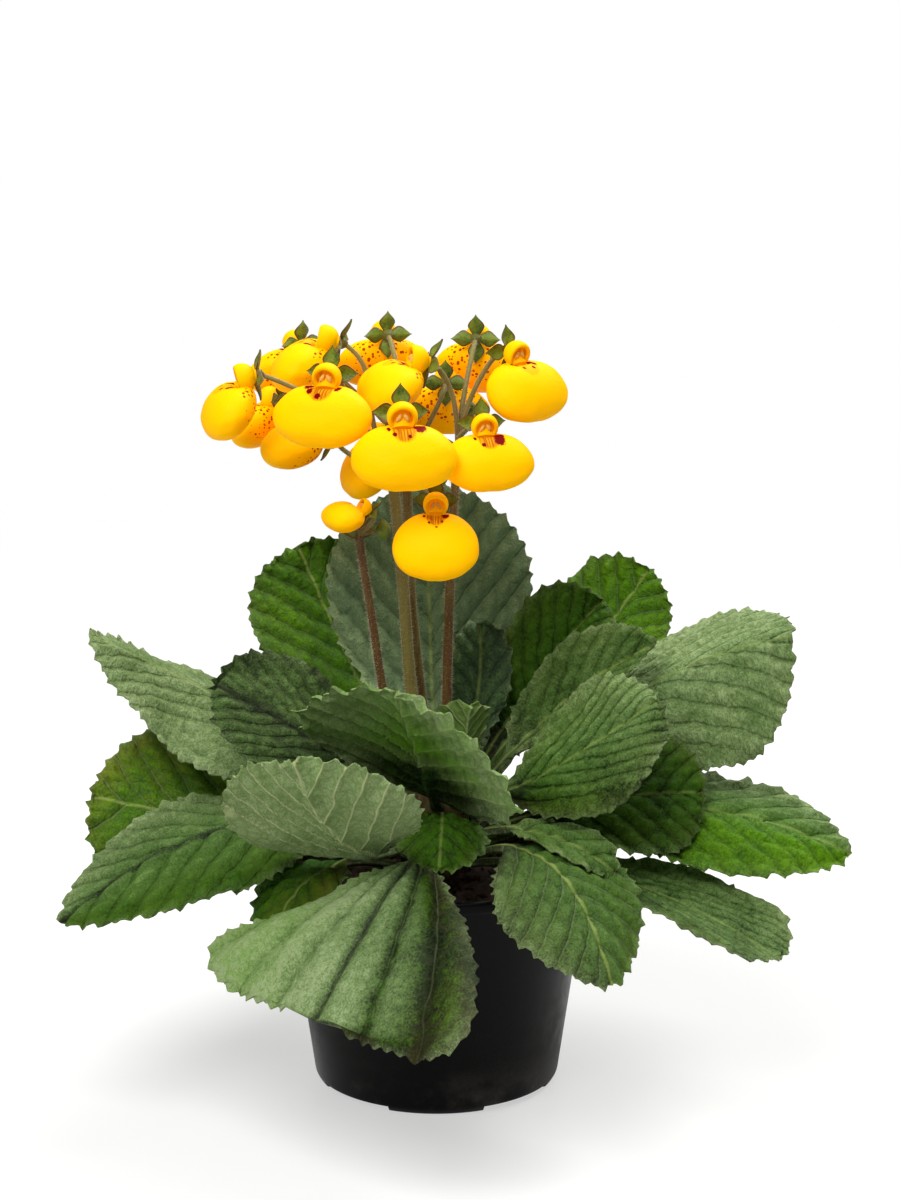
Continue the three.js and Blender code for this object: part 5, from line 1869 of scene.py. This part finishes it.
def petal_material(settings):
    """Petal skin: yellow, orange as painted shade, speckles behind, striped throat, blotches and a painted
    glow.
    """
    # The faint emission in the skin's own colour is a painted glow for light shining through the petals.
    material, tree, shader = start_material("petal_skin", Specular_IOR_Level=0.03, Emission_Strength=0.22)
    local, painted = mark(tree, "local").outputs["Vector"], mark(tree, "mark")
    throat, painted_orange_shade, field = parts(tree, painted.outputs["Color"])
    dots = painted.outputs["Alpha"]
    patches = mottled(tree, local, 9.0)
    # The orange of painted shade, broken up by patches.
    orange_shade_amount = fit(tree, swing(tree, patches, 0.25, painted_orange_shade), 0.05, 1.0)
    skin = blend(tree, orange_shade_amount, settings.yellow[:], settings.shade_orange[:])

    striped = fit(tree, cloud(tree, stretched(tree, local, (0.1, 2.6, 0.1)), 1.0), 0.35, 0.62)
    inside = blend(tree, times(tree, striped, 0.8), settings.throat[:], tint("throat stripe"))
    skin = blend(tree, throat, skin, inside)

    spots = cells(tree, local, 0.66)
    size = fit(tree, parts(tree, spots["Color"])[0], 0, 1, 0.16, 0.42)
    reach = times(tree, size, fit(tree, dots, 0.05, 0.7))
    spotted = fit(tree, sums(tree, "SUBTRACT", spots["Distance"], reach), -0.05, 0.04, 1, 0)
    skin = blend(tree, times(tree, spotted, fit(tree, dots, 0.02, 0.15)), skin, settings.speckle[:])

    ragged = swing(tree, cloud(tree, local, 1.5, 3), 0.22, field)
    skin = blend(tree, fit(tree, ragged, 0.25, 0.36, 0.4, 0), skin, tint("blotch edge"))
    skin = blend(tree, fit(tree, ragged, 0.22, 0.3, 1, 0), skin, settings.blotch[:])
    surface(tree, shader, skin, patches, (0.48, 0.6))
    # Painted glow: the skin colour, emitted.
    put(tree, shader.inputs["Emission Color"], skin)
    relief(tree, shader, cloud(tree, local, 1.1, 3, 0.6), 0.12)
    return material


def anther_material(settings):
    """Powdery anthers."""
    material, tree, shader = start_material("anther_powder", Specular_IOR_Level=0.2)
    grains = mottled(tree, object_place(tree), 0.0006)
    surface(tree, shader, blend(tree, grains, tint("anther shade"), settings.anther[:]), grains, (0.7, 0.9))
    relief(tree, shader, grains, 0.1)
    return material


class PLANT_OT_blooms(bpy.types.Operator):
    """Opens every bloom in place of its plain solid"""

    bl_idname = "plant.blooms"
    bl_label = "Open the blooms"

    def execute(self, context):
        settings = context.scene.plant_bloom
        materials = [petal_material(settings), anther_material(settings)]
        for name in BLOOMS:
            bloom_shape(name, settings).build(f"{name}_bloom", materials, "bloom", f"bloom_{name}")
        return {"FINISHED"}


# ---- stage


def floor_material(settings):
    """A pale matt floor with a faint sheen that fades out far from the pot."""
    material, tree, shader = start_material("floor_pale", Specular_IOR_Level=0.2, Emission_Strength=0.67)
    place = object_place(tree)
    patches = mottled(tree, place, 0.4)
    whiter = tuple(min(1, channel * 1.01) for channel in settings.floor)
    surface(tree, shader, blend(tree, patches, settings.floor[:], whiter), patches, (0.3, 0.36))
    distance = make(tree, "ShaderNodeVectorMath", {0: place}, operation="LENGTH").outputs["Value"]
    put(tree, shader.inputs["Alpha"], fit(tree, distance, *FLOOR_EDGE, 1, 0))
    put(tree, shader.inputs["Emission Color"], blend(tree, patches, (0.8, 0.8, 0.8), (0.82, 0.82, 0.82)))
    return material


def lay_floor(settings):
    """A round floor just under the pot."""
    shape = Shape()
    shape.lathe([(radius / MM, 0) for radius in (0, *FLOOR_EDGE)], FLOOR_SIDES)
    floor = shape.build_bare("floor")
    floor.location = (0, 0, -0.0001)
    floor.data.materials.append(floor_material(settings))


def add_lamp(name, power):
    """A large square lamp that points at its aim."""
    place, aim, size = LAMPS[name]
    light = bpy.data.lights.new(name, "AREA")
    light.size = size * MM
    light.energy = power
    lamp = add_object(name, light)
    lamp.location = np.array(place) * MM
    direction = Vector((np.array(aim) - np.array(place)) * MM)
    lamp.rotation_euler = direction.to_track_quat("-Z", "Y").to_euler()


def set_camera(scene):
    """The camera, in front of the plant."""
    lens = bpy.data.cameras.new("camera")
    lens.lens, lens.sensor_width = CAMERA.lens, CAMERA.sensor
    lens.clip_start, lens.clip_end = CAMERA.clip
    scene.camera = add_object("camera", lens)
    scene.camera.location = np.array(CAMERA.place) * MM
    scene.camera.rotation_euler = (math.radians(90 - CAMERA.pitch), 0, 0)
    scene.view_settings.view_transform = "Standard"


def set_sky(scene, strength):
    """An even white sky that lights the plant less brightly than it shows."""
    world = bpy.data.worlds.new("studio")
    world.use_nodes = True
    tree = world.node_tree
    sky = tree.nodes["Background"].inputs
    put(tree, sky["Color"], (1, 1, 1))
    straight = make(tree, "ShaderNodeLightPath").outputs["Is Camera Ray"]
    put(tree, sky["Strength"], fit(tree, straight, 0.0, 1.0, strength, 1.0))
    scene.world = world


class PLANT_OT_stage(bpy.types.Operator):
    """Sets the floor, the light and the camera"""

    bl_idname = "plant.stage"
    bl_label = "Set the stage"

    def execute(self, context):
        settings = context.scene.plant_stage
        set_camera(context.scene)
        set_sky(context.scene, settings.sky)
        lay_floor(settings)
        add_lamp("key", settings.key)
        add_lamp("back", settings.rim)
        return {"FINISHED"}


# ---- panel and run

OPERATORS = (
    PLANT_OT_stage,
    PLANT_OT_pot,
    PLANT_OT_soil,
    PLANT_OT_crown,
    PLANT_OT_leaves,
    PLANT_OT_scapes,
    PLANT_OT_blooms,
)


class PLANT_PT_panel(bpy.types.Panel):
    """The plant's settings and steps"""

    bl_idname = "PLANT_PT_panel"
    bl_label = "Pocketbook plant"
    bl_space_type = "VIEW_3D"
    bl_region_type = "UI"
    bl_category = "Plant"

    def draw(self, context):
        for name, group in SETTINGS.items():
            box = self.layout.box()
            box.label(text=group.__doc__)
            for setting in group.__annotations__:
                box.prop(getattr(context.scene, name), setting)
        for operator in OPERATORS:
            self.layout.operator(operator.bl_idname)


def register():
    """Registers the settings, the steps and the panel."""
    for kind in (*SETTINGS.values(), *OPERATORS, PLANT_PT_panel):
        bpy.utils.register_class(kind)
    for name, group in SETTINGS.items():
        setattr(bpy.types.Scene, name, PointerProperty(type=group))


def unregister():
    """Takes them away again."""
    for name in SETTINGS:
        delattr(bpy.types.Scene, name)
    for kind in (PLANT_PT_panel, *reversed(OPERATORS), *reversed(SETTINGS.values())):
        bpy.utils.unregister_class(kind)


def main():
    """Runs every step in order."""
    register()
    bpy.ops.plant.stage()
    bpy.ops.plant.pot()
    bpy.ops.plant.soil()
    bpy.ops.plant.crown()
    bpy.ops.plant.leaves()
    bpy.ops.plant.scapes()
    bpy.ops.plant.blooms()
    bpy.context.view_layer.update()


if __name__ == "__main__":
    main()
